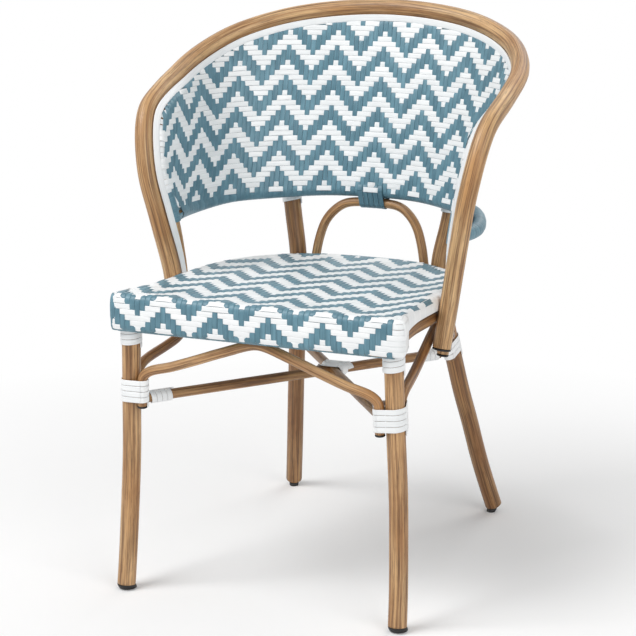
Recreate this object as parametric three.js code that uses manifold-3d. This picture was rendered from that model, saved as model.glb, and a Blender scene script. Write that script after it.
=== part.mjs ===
// A rattan bistro armchair: bent canes, a woven barrel back, a woven seat and strand bindings.
// Millimetres. X is the sitter's left-right, Y runs to the back, Z is up, and the floor is Z = 0.
// The chair is symmetric about X = 0. Paths are given for the right side and mirrored.
import * as THREE from "three";
import { mergeVertices } from "three/addons/utils/BufferGeometryUtils.js";
import Module from "manifold-3d";

const wasm = await Module();
wasm.setup();

// Canes, by diameter
const mainCane = 28; // the outer hoop and the four legs
const secondCane = 18; // the hoop that the back is woven on
const backRailCane = 18;
const ringCane = 19; // the seat's ring and front rails
const lowerRingCane = 22;
const archCane = 15;
const bowCane = 15;
const stretcherCane = 16;

// Woven and wound strands
const weaveThickness = 2.4;
const strandWidth = 8.2;
const strandThickness = 1.4;
const turnGap = 0.5; // between the edges of neighbouring turns
const seatingGap = 0.35; // between pieces that touch
const weaveGap = 0.55; // between the woven back and the canes that it bends round
const cutOverrun = 40; // how far a cutting solid runs past what it cuts
const weldDistance = 0.001; // corners nearer than this are one corner

// Seat
const seatHeight = 455.6; // the top of the weave above the floor, halfway back
const seatSlopeShare = -0.0326; // rise for each unit of depth
const seatHalfWidth = 213;
const seatWidestReach = 100; // forward of the middle
const seatFlareReach = 150; // where the sides start to flare, forward of the middle
const seatFrontReach = 300;
const seatFrontFlare = 18; // how much each side widens towards the front
const seatBackReach = 172;
const seatCornerRadius = 13;
const seatRoundnessPower = 2.5;
const seatEdgeFlat = 1.2; // the upright band between the edge's two rounds
const apronHeight = 60;
const apronCornerDepth = 44; // how far the apron's corners reach back round the legs
const apronOpenHalfWidth = 190; // the apron is hollow between the legs
const lowerRingInset = 3.2; // from the seat's edge to the lower ring's outside

// Legs
const frontFootHalfSpacing = 220.5;
const frontFootInset = 16.6; // from the seat's front edge back to the foot's axis
const frontFootReach = seatFrontReach - frontFootInset;
const backFootHalfSpacing = 187;
const backFootReach = 283.4;
const footCapHeight = 7;
const footTrim = 1.5; // worn off the lowest edge of each cap, so that it rests flat
const frontLegHeadroom = 1.2; // between a front leg's top and the woven seat over it
const backLegRise = 6; // how far a back leg's top stands above the rail's axis

// Hoop and back
const hoopHeight = 846; // to the axis of the outer hoop
const hoopBackReach = 247;
const armHalfWidth = 278;
const hoopPitchGap = 1.5; // between the two hoops
const secondTail = 12; // how much further down the second hoop ends
const pipingWidth = 9.2;
const pipingThickness = 2.6;
const endPlugThickness = 3;
const railHeight = 556; // the lower back rail's axis at the middle
const railBackReach = 181;
const railHalfWidth = 238;
const archSlotHalfWidth = 27; // the weave is parted over the rail, where the arch's binding passes
const archSlotLow = 3; // above the rail's axis
const archSlotHigh = 15;

// Bows and stretchers under the seat
const bindingLow = 291; // the bottom of the bindings round the legs
const bowEndInset = 1.5; // how far a bow's end stands inside its binding
const frontBowOffsetX = -21.5; // from the front leg's axis to the front bow's end
const frontBowOffsetY = -7;
const sideBowFrontOffsetX = 0.5; // from the front leg's axis to the side bow's end
const sideBowFrontOffsetY = 22.3;
const sideBowBackOffsetX = 3.7; // from the back leg's axis to the side bow's end
const sideBowBackOffsetY = -21.9;
const sideBowApexReach = 47; // forward of the middle
const sideBowInset = 3; // from the lower ring's axis in to the side bow's top
const stretcherHeight = 297;
const stretcherFrontStandOff = 26.5; // from the front leg's axis to the stretcher's end
const stretcherBackStandOff = 24.5;

// Turns of the bindings
const legTurns = 3.5;
const stretcherTurns = 4;
const frontCollarTurns = 2;
const backCollarTurns = 2;
const centreTurns = 4;
const archTurns = 5;

// Steps of the faceted shapes
const hoopSteps = 46;
const hoopSides = 10;
const caneSides = 8;
const legSides = 10;
const legSteps = 10;
const railSteps = 38;
const weaveFirstRailStep = 1; // the weave keeps clear of the joints with the second hoop
const weaveFirstHoopStep = 5;
const ringSteps = 32;
const archSteps = 24;
const spanSteps = 2; // of a bow, between two places of its path
const turnSteps = 12;
const halvings = 40; // of a search interval

// Places of a path are shares of the sizes above, read off the photographed chair.
// Hoop leg and arm, from the lower end up and back: across from the seat's side to the arm's widest,
// along the back reach, and up from the seat to the top.
const hoopSideShares = [
  [-0.15, -0.421, -0.195],
  [0.0, -0.382, -0.024],
  [0.32, -0.425, 0.198],
  [0.66, -0.462, 0.419],
  [0.92, -0.356, 0.617],
  [0.985, -0.19, 0.683],
  [1.0, 0.032, 0.734],
];
// The same for the curve behind: across as a share of the arm's widest.
const hoopBackShares = [
  [0.975, 0.372, 0.815],
  [0.838, 0.656, 0.897],
  [0.529, 0.887, 0.967],
  [0.0, 1.0, 1.0],
];
const railShares = [
  [0.965, -0.4, 0.963],
  [1.0, -0.02, 0.9765],
  [0.874, 0.425, 0.989],
  [0.621, 0.724, 0.9945],
  [0.325, 0.94, 0.999],
  [0.0, 1.0, 1.0],
];
// Legs: across and forward as shares of the foot's place, up as a share of the seat's height.
const frontLegShares = [
  [0.934, -0.968, 1.0],
  [0.943, -0.962, 0.83],
  [0.962, -0.948, 0.55],
  [0.971, -0.943, 0.45],
  [0.994, -0.976, 0.12],
  [1.0, -1.0, 0.0],
];
const backLegShares = [
  [0.777, 0.7075, 0.544],
  [0.84, 0.789, 0.382],
  [0.906, 0.877, 0.207],
  [1.0, 1.0, 0.0],
];
const backLegSeatShare = 0.545; // where the back leg passes the seat: a share of its half width
const backLegRailShare = 0.53; // where it meets the rail: a share of the rail's half width
// Arch: across as a share of its half width, up and back as shares of the way from seat to rail.
const archHalfWidth = 92.8;
const archShares = [
  [1.0, 0.0, 0.0],
  [0.935, 0.35, 0.16],
  [0.835, 0.64, 0.36],
  [0.69, 0.83, 0.62],
  [0.5, 0.955, 0.85],
  [0.24, 0.995, 0.98],
  [0.0, 1.0, 1.0],
];
// Front bow, from its binding to the middle: along the run, and up.
const frontBowShares = [
  [0.015, 0.13],
  [0.06, 0.225],
  [0.12, 0.285],
  [0.25, 0.37],
  [0.51, 0.6],
  [0.765, 0.835],
  [1.0, 1.0],
];
// Side bows, from a binding to the top: along the run, across, and up.
const sideBowShares = [
  [0.015, 0.0, 0.12],
  [0.055, 0.02, 0.2],
  [0.11, 0.08, 0.255],
  [0.2, 0.2, 0.305],
  [0.37, 0.5, 0.38],
  [0.54, 0.78, 0.485],
  [0.81, 0.94, 0.82],
  [1.0, 1.0, 1.0],
];
const bowEndShares = [0.5, 0.85]; // places on a bow's straight end inside its binding
const railJointShare = 0.093; // where along the hoop the rail meets it
const middleShare = 0.5; // of a symmetric path
const nearMiddleShares = [0.25, 0.75]; // of a symmetric path, a stretch round its middle
const pairTurnShares = [0.4, 1.0]; // where, on the way up to the rail, the second hoop turns inwards
const weaveTurnShares = [1.0, 2.2]; // where the weave takes over as what the second hoop faces
const turnBesideSeat = THREE.MathUtils.degToRad(10);
const turnAbove = THREE.MathUtils.degToRad(35);
const topTurnShares = [0.19, 0.33]; // where, along the hoop, the second hoop turns back under it
const turnAtTop = THREE.MathUtils.degToRad(-10);

// Finishes
const caneFinish = { color: "#b07a45", roughness: 0.5, metalness: 0 };
const whiteFinish = { color: "#eef0ef", roughness: 0.55, metalness: 0 };
const blueFinish = { color: "#5f8ba0", roughness: 0.5, metalness: 0 };
const blackFinish = { color: "#1c1a19", roughness: 0.6, metalness: 0 };

const chair = new THREE.Group();
const vec = (x, y, z) => new THREE.Vector3(x, y, z);
const mirrored = (points) => points.map((p) => vec(-p.x, p.y, p.z));

function addMesh(name, geometry, finish) {
  const mesh = new THREE.Mesh(geometry, new THREE.MeshStandardMaterial(finish));
  mesh.name = name;
  chair.add(mesh);
}

// Closed geometry to a manifold solid, and back.
function toSolid(geometry) {
  const bare = geometry.clone();
  bare.deleteAttribute("normal");
  bare.deleteAttribute("uv");
  const merged = mergeVertices(bare, weldDistance);
  return new wasm.Manifold(
    new wasm.Mesh({
      numProp: 3,
      vertProperties: new Float32Array(merged.attributes.position.array),
      triVerts: new Uint32Array(merged.index.array),
    }),
  );
}

function toGeometry(solid) {
  const mesh = solid.getMesh();
  const geometry = new THREE.BufferGeometry();
  geometry.setAttribute("position", new THREE.BufferAttribute(mesh.vertProperties, 3));
  geometry.setIndex(new THREE.BufferAttribute(mesh.triVerts, 1));
  geometry.computeVertexNormals();
  return geometry;
}

const cut = (geometry, ...tools) =>
  toGeometry(tools.reduce((solid, tool) => solid.subtract(toSolid(tool)), toSolid(geometry)));

// A round section with the given number of sides.
function roundSection(radius, sides) {
  const corners = [];
  for (let i = 0; i < sides; i += 1) {
    const angle = (i / sides) * Math.PI * 2;
    corners.push(new THREE.Vector2(Math.cos(angle) * radius, Math.sin(angle) * radius));
  }
  return new THREE.Shape(corners);
}

const smooth = (points) => new THREE.CatmullRomCurve3(points, false, "centripetal");

// A curve whose steps lie where a function of a share puts them.
class PlacedCurve extends THREE.Curve {
  constructor(place) {
    super();
    this.place = place;
  }

  getPoint(share) {
    return this.place(share);
  }

  getPointAt(share) {
    return this.place(share);
  }

  getTangentAt(share) {
    return this.getTangent(share);
  }
}

// A solid cane along a curve.
const cane = (curve, diameter, steps, sides = caneSides) =>
  new THREE.ExtrudeGeometry(roundSection(diameter / 2, sides), {
    steps,
    bevelEnabled: false,
    extrudePath: curve,
  });
// A cane with the same number of steps in each span between the points of its path.
function spannedCane(path, diameter) {
  const guide = smooth(path);
  const curve = new PlacedCurve((share) => guide.getPoint(share));
  return cane(curve, diameter, (path.length - 1) * spanSteps);
}
const bar = (start, end, diameter, sides = caneSides) =>
  cane(new THREE.LineCurve3(start, end), diameter, 1, sides);
const clear = (diameter) => diameter + 2 * seatingGap;

// A flat strip or shell: a subdivided box whose corners are placed by a function of three shares.
function placedBox(stepsX, stepsY, stepsZ, place) {
  const geometry = new THREE.BoxGeometry(1, 1, 1, stepsX, stepsY, stepsZ);
  geometry.translate(0.5, 0.5, 0.5);
  const position = geometry.attributes.position;
  for (let i = 0; i < position.count; i += 1) {
    const placed = place(position.getX(i), position.getY(i), position.getZ(i));
    position.setXYZ(i, placed.x, placed.y, placed.z);
  }
  geometry.computeVertexNormals();
  return geometry;
}

// A box between two corners.
function boxBetween(low, high) {
  const size = high.clone().sub(low);
  const middle = low.clone().add(high).multiplyScalar(0.5);
  return new THREE.BoxGeometry(size.x, size.y, size.z).translate(middle.x, middle.y, middle.z);
}

// The share of a curve at which one coordinate has a value, where that coordinate runs one way.
function shareWhere(curve, axis, value, from = 0, to = 1) {
  let low = from;
  let high = to;
  const rising = curve.getPointAt(to)[axis] > curve.getPointAt(from)[axis];
  for (let i = 0; i < halvings; i += 1) {
    const middle = (low + high) / 2;
    if (curve.getPointAt(middle)[axis] < value === rising) low = middle;
    else high = middle;
  }
  return low;
}

// Seat outline, seen from above, moved inwards by an inset. It starts at the front right.
const roundingPower = 2 / seatRoundnessPower;
const cornerSteps = 4;
const flareSteps = 4;
const backSteps = 12;
function seatOutline(inset) {
  const half = []; // each place with the direction outwards there
  const cornerX = seatHalfWidth + seatFrontFlare - seatCornerRadius;
  const cornerY = -seatFrontReach + seatCornerRadius;
  for (let i = 0; i <= cornerSteps; i += 1) {
    const angle = (i / cornerSteps) * (Math.PI / 2);
    const out = new THREE.Vector2(Math.sin(angle), -Math.cos(angle));
    const at = new THREE.Vector2(cornerX, cornerY).addScaledVector(out, seatCornerRadius);
    half.push({ at, out });
  }
  const flareLength = seatFrontReach - seatCornerRadius - seatFlareReach;
  for (let i = 1; i <= flareSteps; i += 1) {
    const share = 1 - i / flareSteps;
    const x = seatHalfWidth + seatFrontFlare * share * share;
    const at = new THREE.Vector2(x, -seatFlareReach - flareLength * share);
    half.push({ at, out: new THREE.Vector2(flareLength, 2 * seatFrontFlare * share).normalize() });
  }
  const backDepth = seatBackReach + seatWidestReach;
  for (let i = 0; i <= backSteps; i += 1) {
    const last = i === backSteps;
    const cos = last ? 0 : Math.cos((i / backSteps) * (Math.PI / 2));
    const sin = Math.sin((i / backSteps) * (Math.PI / 2));
    const y = backDepth * sin ** roundingPower - seatWidestReach;
    const at = new THREE.Vector2(seatHalfWidth * cos ** roundingPower, y);
    const outX = cos ** (2 - roundingPower) / seatHalfWidth;
    const outY = sin ** (2 - roundingPower) / backDepth;
    half.push({ at, out: new THREE.Vector2(outX, outY).normalize() });
  }
  const right = half.map(({ at, out }) => at.addScaledVector(out, -inset));
  const left = right.slice(0, -1).reverse();
  return [...right, ...left.map(({ x, y }) => new THREE.Vector2(-x, y))];
}

// The stretch of an outline behind a given depth, from right to left, with both ends on that depth.
function outlineBehind(inset, frontY) {
  const outline = seatOutline(inset);
  const kept = [];
  outline.forEach((p, i) => {
    const next = outline[(i + 1) % outline.length];
    if (p.y > frontY) kept.push(p);
    if (p.y > frontY !== next.y > frontY) {
      kept.push(p.clone().lerp(next, (frontY - p.y) / (next.y - p.y)));
    }
  });
  return kept;
}

// A place beside the seat's rounded back, clear of its edge by a cane's radius.
function besideSeat(x, diameter) {
  const share = x / seatHalfWidth;
  const depth = seatBackReach + seatWidestReach;
  const left = 1 - share ** seatRoundnessPower;
  const y = -seatWidestReach + depth * left ** (1 / seatRoundnessPower);
  const slope =
    (-depth / seatHalfWidth) *
    share ** (seatRoundnessPower - 1) *
    left ** (1 / seatRoundnessPower - 1);
  const outwards = new THREE.Vector2(-slope, 1).setLength(diameter / 2 + seatingGap);
  return new THREE.Vector2(x + outwards.x, y + outwards.y);
}

// From the seat's own flat frame, where the weave's top is zero, to the chair's frame.
const seatTilt = new THREE.Matrix4()
  .makeTranslation(0, 0, seatHeight)
  .multiply(new THREE.Matrix4().makeRotationX(Math.atan(seatSlopeShare)));
const onSeat = (x, y, drop) => vec(x, y, -drop).applyMatrix4(seatTilt);

const edgeRound = ringCane / 2 + weaveThickness;
const ringDrop = edgeRound + seatEdgeFlat / 2;
const edgeDepth = 2 * edgeRound + seatEdgeFlat;
const frontRailY = -seatFrontReach + edgeRound;
const lowerRailDrop = apronHeight - ringDrop;
const lowerRingDrop = edgeDepth + seatingGap + lowerRingCane / 2;

// Front legs, from the top down
const frontLegTop = onSeat(0, -frontFootReach, weaveThickness + seatingGap + frontLegHeadroom).z;
const frontLegPath = frontLegShares.map(([x, y, z]) =>
  vec(x * frontFootHalfSpacing, y * frontFootReach, z * frontLegTop),
);

// Outer hoop
const hoopSeatX = seatHalfWidth + seatingGap + mainCane / 2;
const hoopRise = hoopHeight - seatHeight;
const hoopSidePath = hoopSideShares.map(([x, y, z]) =>
  vec(hoopSeatX + x * (armHalfWidth - hoopSeatX), y * hoopBackReach, seatHeight + z * hoopRise),
);
const hoopBackPath = hoopBackShares.map(([x, y, z]) =>
  vec(x * armHalfWidth, y * hoopBackReach, seatHeight + z * hoopRise),
);
const hoopRight = [...hoopSidePath, ...hoopBackPath];
const hoopCurve = smooth([...hoopRight, ...mirrored(hoopRight.slice(0, -1)).reverse()]);

const railRight = railShares.map(([x, y, z]) =>
  vec(x * railHalfWidth, y * railBackReach, z * railHeight),
);
const railPath = [...railRight, ...mirrored(railRight.slice(0, -1)).reverse()];
const railGuide = smooth(railPath);

// Along the hoops: where the second hoop lies, and which way is in towards the sitter.
const hoopPitch = (mainCane + secondCane) / 2 + hoopPitchGap;
function pairAt(share) {
  const point = hoopCurve.getPointAt(share);
  const along = hoopCurve.getTangentAt(share);
  const fromEnd = Math.min(share, 1 - share) / railJointShare;
  const guideShare = (share - railJointShare) / (1 - 2 * railJointShare);
  const behind = vec(0, 1, 0);
  const toRail = railGuide.getPointAt(THREE.MathUtils.clamp(guideShare, 0, 1)).sub(point);
  toRail.addScaledVector(along, -toRail.dot(along)).normalize();
  behind.addScaledVector(along, -behind.dot(along)).normalize();
  const toWeave = behind
    .lerp(toRail, THREE.MathUtils.smoothstep(fromEnd, ...weaveTurnShares))
    .normalize();
  const inwards = new THREE.Vector3().crossVectors(along, toWeave);
  const turned = THREE.MathUtils.smoothstep(fromEnd, ...pairTurnShares);
  const besideSitter = THREE.MathUtils.lerp(turnBesideSeat, turnAbove, turned);
  const atTop = THREE.MathUtils.smoothstep(Math.min(share, 1 - share), ...topTurnShares);
  const angle = THREE.MathUtils.lerp(besideSitter, turnAtTop, atTop);
  const across = toWeave.clone().multiplyScalar(Math.cos(angle));
  across.addScaledVector(inwards, Math.sin(angle));
  const outOf = inwards.clone().multiplyScalar(Math.cos(angle));
  outOf.addScaledVector(toWeave, -Math.sin(angle));
  const second = point.clone().addScaledVector(across, hoopPitch);
  return { point, along, toWeave, inwards, angle, across, outOf, second };
}
const secondCurve = new PlacedCurve((share) => {
  const { second, along } = pairAt(share);
  const tail = secondTail * Math.max(0, 1 - Math.min(share, 1 - share) * hoopSteps);
  return second.addScaledVector(along, share < middleShare ? -tail : tail);
});

addMesh("outer_hoop", cane(hoopCurve, mainCane, hoopSteps, hoopSides), caneFinish);
addMesh("inner_hoop", cane(secondCurve, secondCane, hoopSteps), caneFinish);

// A black plug on the end of a cane
function plug(name, curve, share, diameter) {
  const outwards = curve.getTangentAt(share).multiplyScalar(share > 0 ? 1 : -1);
  const start = curve.getPointAt(share).addScaledVector(outwards, seatingGap);
  const end = start.clone().addScaledVector(outwards, endPlugThickness);
  addMesh(name, bar(start, end, diameter, hoopSides), blackFinish);
}
plug("outer_hoop_plug_right", hoopCurve, 0, mainCane);
plug("outer_hoop_plug_left", hoopCurve, 1, mainCane);
plug("inner_hoop_plug_right", secondCurve, 0, secondCane);
plug("inner_hoop_plug_left", secondCurve, 1, secondCane);

// Flat piping lies in the valley between the two hoops, on the sitter's side and behind.
const firstReach = mainCane / 2 + seatingGap;
const secondReach = secondCane / 2 + seatingGap;
const valley = hoopPitch - pipingWidth;
const pipingNear = (valley + (firstReach ** 2 - secondReach ** 2) / valley) / 2;
const pipingFar = hoopPitch - pipingNear - pipingWidth;
const pipingRise = Math.sqrt(firstReach ** 2 - pipingNear ** 2);
function piping(side) {
  return placedBox(1, hoopSteps, 1, (x, y, z) => {
    const { point, across, outOf } = pairAt(y);
    return point
      .addScaledVector(across, pipingNear + (side > 0 ? 1 - x : x) * pipingWidth)
      .addScaledVector(outOf, side * (pipingRise + z * pipingThickness));
  });
}
addMesh("hoop_piping_front", piping(1), whiteFinish);
addMesh("hoop_piping_rear", piping(-1), whiteFinish);

// The lower back rail runs from one side of the second hoop to the other.
const joint = pairAt(railJointShare).second;
const railAxis = [joint, ...railPath.slice(1, -1), vec(-joint.x, joint.y, joint.z)];
const railCurve = smooth(railAxis);
const secondClear = cane(secondCurve, clear(secondCane), hoopSteps);
addMesh(
  "lower_back_rail",
  cut(cane(railCurve, backRailCane, railSteps), secondClear),
  caneFinish,
);

// The woven back: one sheet from behind the rail, round under it, up the front and on to the hoop.
const weaveColumns = railSteps - 2 * weaveFirstRailStep;
const railLipRows = 7;
const sheetRows = 4;
const hoopLipRows = 2;
const weaveRows = railLipRows + sheetRows + hoopLipRows;
const railLipTurn = THREE.MathUtils.degToRad(200);
const railLipRadius = backRailCane / 2 + weaveGap + weaveThickness;
const hoopLipRadius = secondCane / 2 + weaveGap + weaveThickness;
const hoopLipPast = Math.asin((pipingFar - seatingGap) / hoopLipRadius);
const stepShare = (first, steps, y) => (first + y * (steps - 2 * first)) / steps;
function weavePlace(x, y, z) {
  const railShare = stepShare(weaveFirstRailStep, railSteps, y);
  const rail = railCurve.getPointAt(railShare);
  const along = railCurve.getTangentAt(railShare);
  const pair = pairAt(stepShare(weaveFirstHoopStep, hoopSteps, y));
  const up = pair.second.clone().sub(rail);
  up.addScaledVector(along, -up.dot(along)).normalize();
  const railIn = new THREE.Vector3().crossVectors(up, along);
  const sunk = (z - 1) * weaveThickness;
  const row = x * weaveRows - railLipRows;
  if (row < 0) {
    const turn = (-row / railLipRows) * railLipTurn;
    return rail
      .addScaledVector(railIn, Math.cos(turn) * (railLipRadius + sunk))
      .addScaledVector(up, -Math.sin(turn) * (railLipRadius + sunk));
  }
  if (row > sheetRows) {
    const turn = ((row - sheetRows) / hoopLipRows) * (pair.angle + hoopLipPast);
    return pair.second
      .addScaledVector(pair.inwards, Math.cos(turn) * (hoopLipRadius + sunk))
      .addScaledVector(pair.toWeave, -Math.sin(turn) * (hoopLipRadius + sunk));
  }
  const low = rail.addScaledVector(railIn, railLipRadius + sunk);
  const high = pair.second.addScaledVector(pair.inwards, hoopLipRadius + sunk);
  return low.lerp(high, row / sheetRows);
}
const railMiddle = railCurve.getPointAt(middleShare);
const archSlot = boxBetween(
  vec(-archSlotHalfWidth, railMiddle.y - 2 * railLipRadius, railHeight + archSlotLow),
  vec(archSlotHalfWidth, railMiddle.y, railHeight + archSlotHigh),
);
const wovenBack = cut(placedBox(weaveRows, weaveColumns, 1, weavePlace), archSlot);
addMesh("woven_back", wovenBack, blueFinish);

// Where a strand runs round a bundle of canes: at each step, the way out and the cane it lies on.
function loopSteps(circles) {
  const reach = (i, angle) =>
    circles[i].x * Math.cos(angle) + circles[i].y * Math.sin(angle) + circles[i].radius;
  const touched = (angle) =>
    circles.reduce((best, _, i) => (reach(i, angle) > reach(best, angle) ? i : best), 0);
  const found = [];
  for (let step = 0; step < turnSteps; step += 1) {
    let low = (step / turnSteps) * Math.PI * 2;
    let high = ((step + 1) / turnSteps) * Math.PI * 2;
    const here = touched(low);
    const there = touched(high);
    found.push({ angle: low, index: here });
    if (here === there) continue;
    for (let i = 0; i < halvings; i += 1) {
      const middle = (low + high) / 2;
      if (reach(here, middle) > reach(there, middle)) low = middle;
      else high = middle;
    }
    found.push({ angle: low, index: here }, { angle: low, index: there });
  }
  return found;
}

// How far from a cane's axis the middle and the outside of a strand wound on it lie.
const strandReach = (radius) =>
  (radius + seatingGap + strandThickness / 2) / Math.cos(Math.PI / turnSteps);
const woundReach = (radius) => strandReach(radius) + strandThickness / 2;
const turnPitch = strandWidth + turnGap;
const windingLength = (turns) => turns * turnPitch + strandWidth;

// A frame with its third axis along a direction, and its first as near as can be to a hint.
function frameAlong(origin, direction, hint) {
  const third = direction.clone().normalize();
  const first = hint.clone().addScaledVector(third, -hint.dot(third)).normalize();
  const second = new THREE.Vector3().crossVectors(third, first);
  return new THREE.Matrix4().makeBasis(first, second, third).setPosition(origin);
}

// One flat strand wound along a frame's third axis, round the circles that it holds at each height.
function winding(name, frame, turns, circlesAt, finish) {
  const middle = windingLength(turns) / 2;
  const steps = loopSteps(circlesAt(middle));
  const placeAt = (step, height, out) => {
    const circle = circlesAt(height)[step.index];
    const reach = strandReach(circle.radius) + out;
    const x = circle.x + Math.cos(step.angle) * reach;
    return vec(x, circle.y + Math.sin(step.angle) * reach, height);
  };
  const lengths = steps.map((step, i) =>
    placeAt(step, middle, 0).distanceTo(placeAt(steps[(i + 1) % steps.length], middle, 0)),
  );
  const loopLength = lengths.reduce((sum, length) => sum + length, 0);
  let passed = 0;
  const startShares = lengths.map((length) => {
    passed += length;
    return (passed - length) / loopLength;
  });
  const total = turns * steps.length;
  const strandPlace = (index, edge, out) => {
    const step = index % steps.length;
    const turn = Math.floor(index / steps.length) + startShares[step];
    return placeAt(steps[step], turn * turnPitch + edge * strandWidth, out);
  };
  const geometry = placedBox(1, total, 1, (x, y, z) =>
    strandPlace(Math.round(y * total), 1 - x, (z - 0.5) * strandThickness).applyMatrix4(frame),
  );
  let least = Infinity;
  for (let i = 0; i <= total; i += 1) {
    for (let j = i + Math.ceil(steps.length / 2); j <= total; j += 1) {
      least = Math.min(least, strandPlace(i, 1, 0).distanceTo(strandPlace(j, 0, 0)));
    }
  }
  console.log(name + ": least gap to itself " + least.toFixed(2) + " mm");
  addMesh(name, geometry, finish);
}

// Legs. Each foot has a black cap whose lowest edge is worn flat where it rests on the floor.
function leg(name, path) {
  const full = smooth(path);
  const along = full.getTangentAt(1);
  const lean = Math.sqrt(1 - along.z * along.z);
  const lift = (mainCane / 2) * lean - footTrim;
  const end = full.getPointAt(1).addScaledVector(along, lift / along.z);
  const capTop = end.clone().addScaledVector(along, -footCapHeight);
  const curve = smooth([...path.slice(0, -1), capTop.clone().addScaledVector(along, -seatingGap)]);
  const below = boxBetween(
    vec(end.x - cutOverrun, end.y - cutOverrun, -cutOverrun),
    vec(end.x + cutOverrun, end.y + cutOverrun, 0),
  );
  addMesh(name, cane(curve, mainCane, legSteps, legSides), caneFinish);
  addMesh("foot_cap_" + name, cut(bar(capTop, end, mainCane, legSides), below), blackFinish);
  return curve;
}
const frontLegRight = leg("front_leg_right", frontLegPath);
const frontLegLeft = leg("front_leg_left", mirrored(frontLegPath));

// Back legs stand against the seat's edge and end behind the lower back rail.
const meetX = backLegRailShare * railHalfWidth;
const meetShare = shareWhere(railCurve, "x", meetX, nearMiddleShares[0], middleShare);
const meetPoint = railCurve.getPointAt(meetShare);
const meetAlong = railCurve.getTangentAt(meetShare);
const meetOut = vec(-meetAlong.y, meetAlong.x, 0).setLength(
  -(railLipRadius + seatingGap + woundReach(mainCane / 2)),
);
const backLegMeet = meetPoint.clone().add(meetOut);
const backLegSeat = besideSeat(backLegSeatShare * seatHalfWidth, mainCane);
const backLegAtSeat = vec(backLegSeat.x, backLegSeat.y, onSeat(0, backLegSeat.y, ringDrop).z);
const backLegLean = backLegMeet.clone().sub(backLegAtSeat).normalize();
const backLegPath = [
  backLegMeet.clone().addScaledVector(backLegLean, backLegRise),
  backLegMeet.clone().addScaledVector(backLegLean, -2 * windingLength(backCollarTurns)),
  backLegAtSeat,
  ...backLegShares.map(([x, y, z]) =>
    vec(x * backFootHalfSpacing, y * backFootReach, z * seatHeight),
  ),
];
const backLegRight = leg("back_leg_right", backLegPath);
const backLegLeft = leg("back_leg_left", mirrored(backLegPath));

// A frame on a leg at a height, pointing along the length above it.
const up = vec(0, 0, 1);
function legFrame(curve, height, length) {
  const [low, high] = [height, height + length].map((z) =>
    curve.getPointAt(shareWhere(curve, "z", z)),
  );
  return frameAlong(low, high.sub(low), vec(1, 0, 0));
}
const oneCircle = (diameter) => () => [{ x: 0, y: 0, radius: diameter / 2 }];

const collarBottom =
  onSeat(0, -frontFootReach, apronHeight + seatingGap + windingLength(frontCollarTurns)).z;
const backCollarBottom = backLegPath[0].z - windingLength(backCollarTurns);
[
  ["front_leg_collar_right", frontLegRight, collarBottom, frontCollarTurns],
  ["front_leg_collar_left", frontLegLeft, collarBottom, frontCollarTurns],
  ["back_leg_collar_right", backLegRight, backCollarBottom, backCollarTurns],
  ["back_leg_collar_left", backLegLeft, backCollarBottom, backCollarTurns],
].forEach(([name, curve, height, turns]) => {
  const frame = legFrame(curve, height, windingLength(turns));
  winding(name, frame, turns, oneCircle(mainCane), whiteFinish);
});

// Bows. Their ends stand along the legs inside the bindings.
const bindingLength = windingLength(legTurns);
function besideLeg(frame, offsetX, offsetY) {
  return [bowEndInset / bindingLength, ...bowEndShares, 1].map((share) =>
    vec(offsetX, offsetY, share * bindingLength).applyMatrix4(frame),
  );
}
const frontRightFrame = legFrame(frontLegRight, bindingLow, bindingLength);
const backRightFrame = legFrame(backLegRight, bindingLow, bindingLength);
const lastOf = (list) => list[list.length - 1];
const frontBowEnd = besideLeg(frontRightFrame, frontBowOffsetX, frontBowOffsetY);
const frontBowTurn = lastOf(frontBowEnd);
const bowToRail = (ringCane + bowCane) / 2 + seatingGap;
const bowBehindRail = frontBowTurn.y - frontRailY;
const frontBowDrop = lowerRailDrop + Math.sqrt(bowToRail ** 2 - bowBehindRail ** 2);
const frontBowTop = onSeat(0, frontBowTurn.y, frontBowDrop);
const frontBowHalf = [
  ...frontBowEnd,
  ...frontBowShares.map(([run, rise]) =>
    vec(
      frontBowTurn.x * (1 - run),
      frontBowTurn.y,
      THREE.MathUtils.lerp(frontBowTurn.z, frontBowTop.z, rise),
    ),
  ),
];
const frontBowPath = [...frontBowHalf, ...mirrored(frontBowHalf.slice(0, -1)).reverse()];
const frontBowCurve = smooth(frontBowPath);
addMesh("front_bow", spannedCane(frontBowPath, bowCane), caneFinish);
plug("front_bow_plug_right", frontBowCurve, 0, bowCane);
plug("front_bow_plug_left", frontBowCurve, 1, bowCane);

const sideFrontEnd = besideLeg(frontRightFrame, sideBowFrontOffsetX, sideBowFrontOffsetY);
const sideBackEnd = besideLeg(backRightFrame, sideBowBackOffsetX, sideBowBackOffsetY);
const lowerRingOutline = outlineBehind(lowerRingInset + lowerRingCane / 2, -sideBowApexReach);
const sideBowTop = onSeat(
  lowerRingOutline[0].x - sideBowInset,
  -sideBowApexReach,
  lowerRingDrop + (lowerRingCane + bowCane) / 2 + seatingGap,
);
const sideBowHalf = (end) => [
  ...end,
  ...sideBowShares.map(([run, across, rise]) =>
    vec(
      THREE.MathUtils.lerp(lastOf(end).x, sideBowTop.x, across),
      THREE.MathUtils.lerp(lastOf(end).y, sideBowTop.y, run),
      THREE.MathUtils.lerp(lastOf(end).z, sideBowTop.z, rise),
    ),
  ),
];
const sideBowPath = [...sideBowHalf(sideFrontEnd), ...sideBowHalf(sideBackEnd).slice(0, -1).reverse()];
addMesh("side_bow_right", spannedCane(sideBowPath, bowCane), caneFinish);
addMesh("side_bow_left", spannedCane(mirrored(sideBowPath), bowCane), caneFinish);

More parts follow.
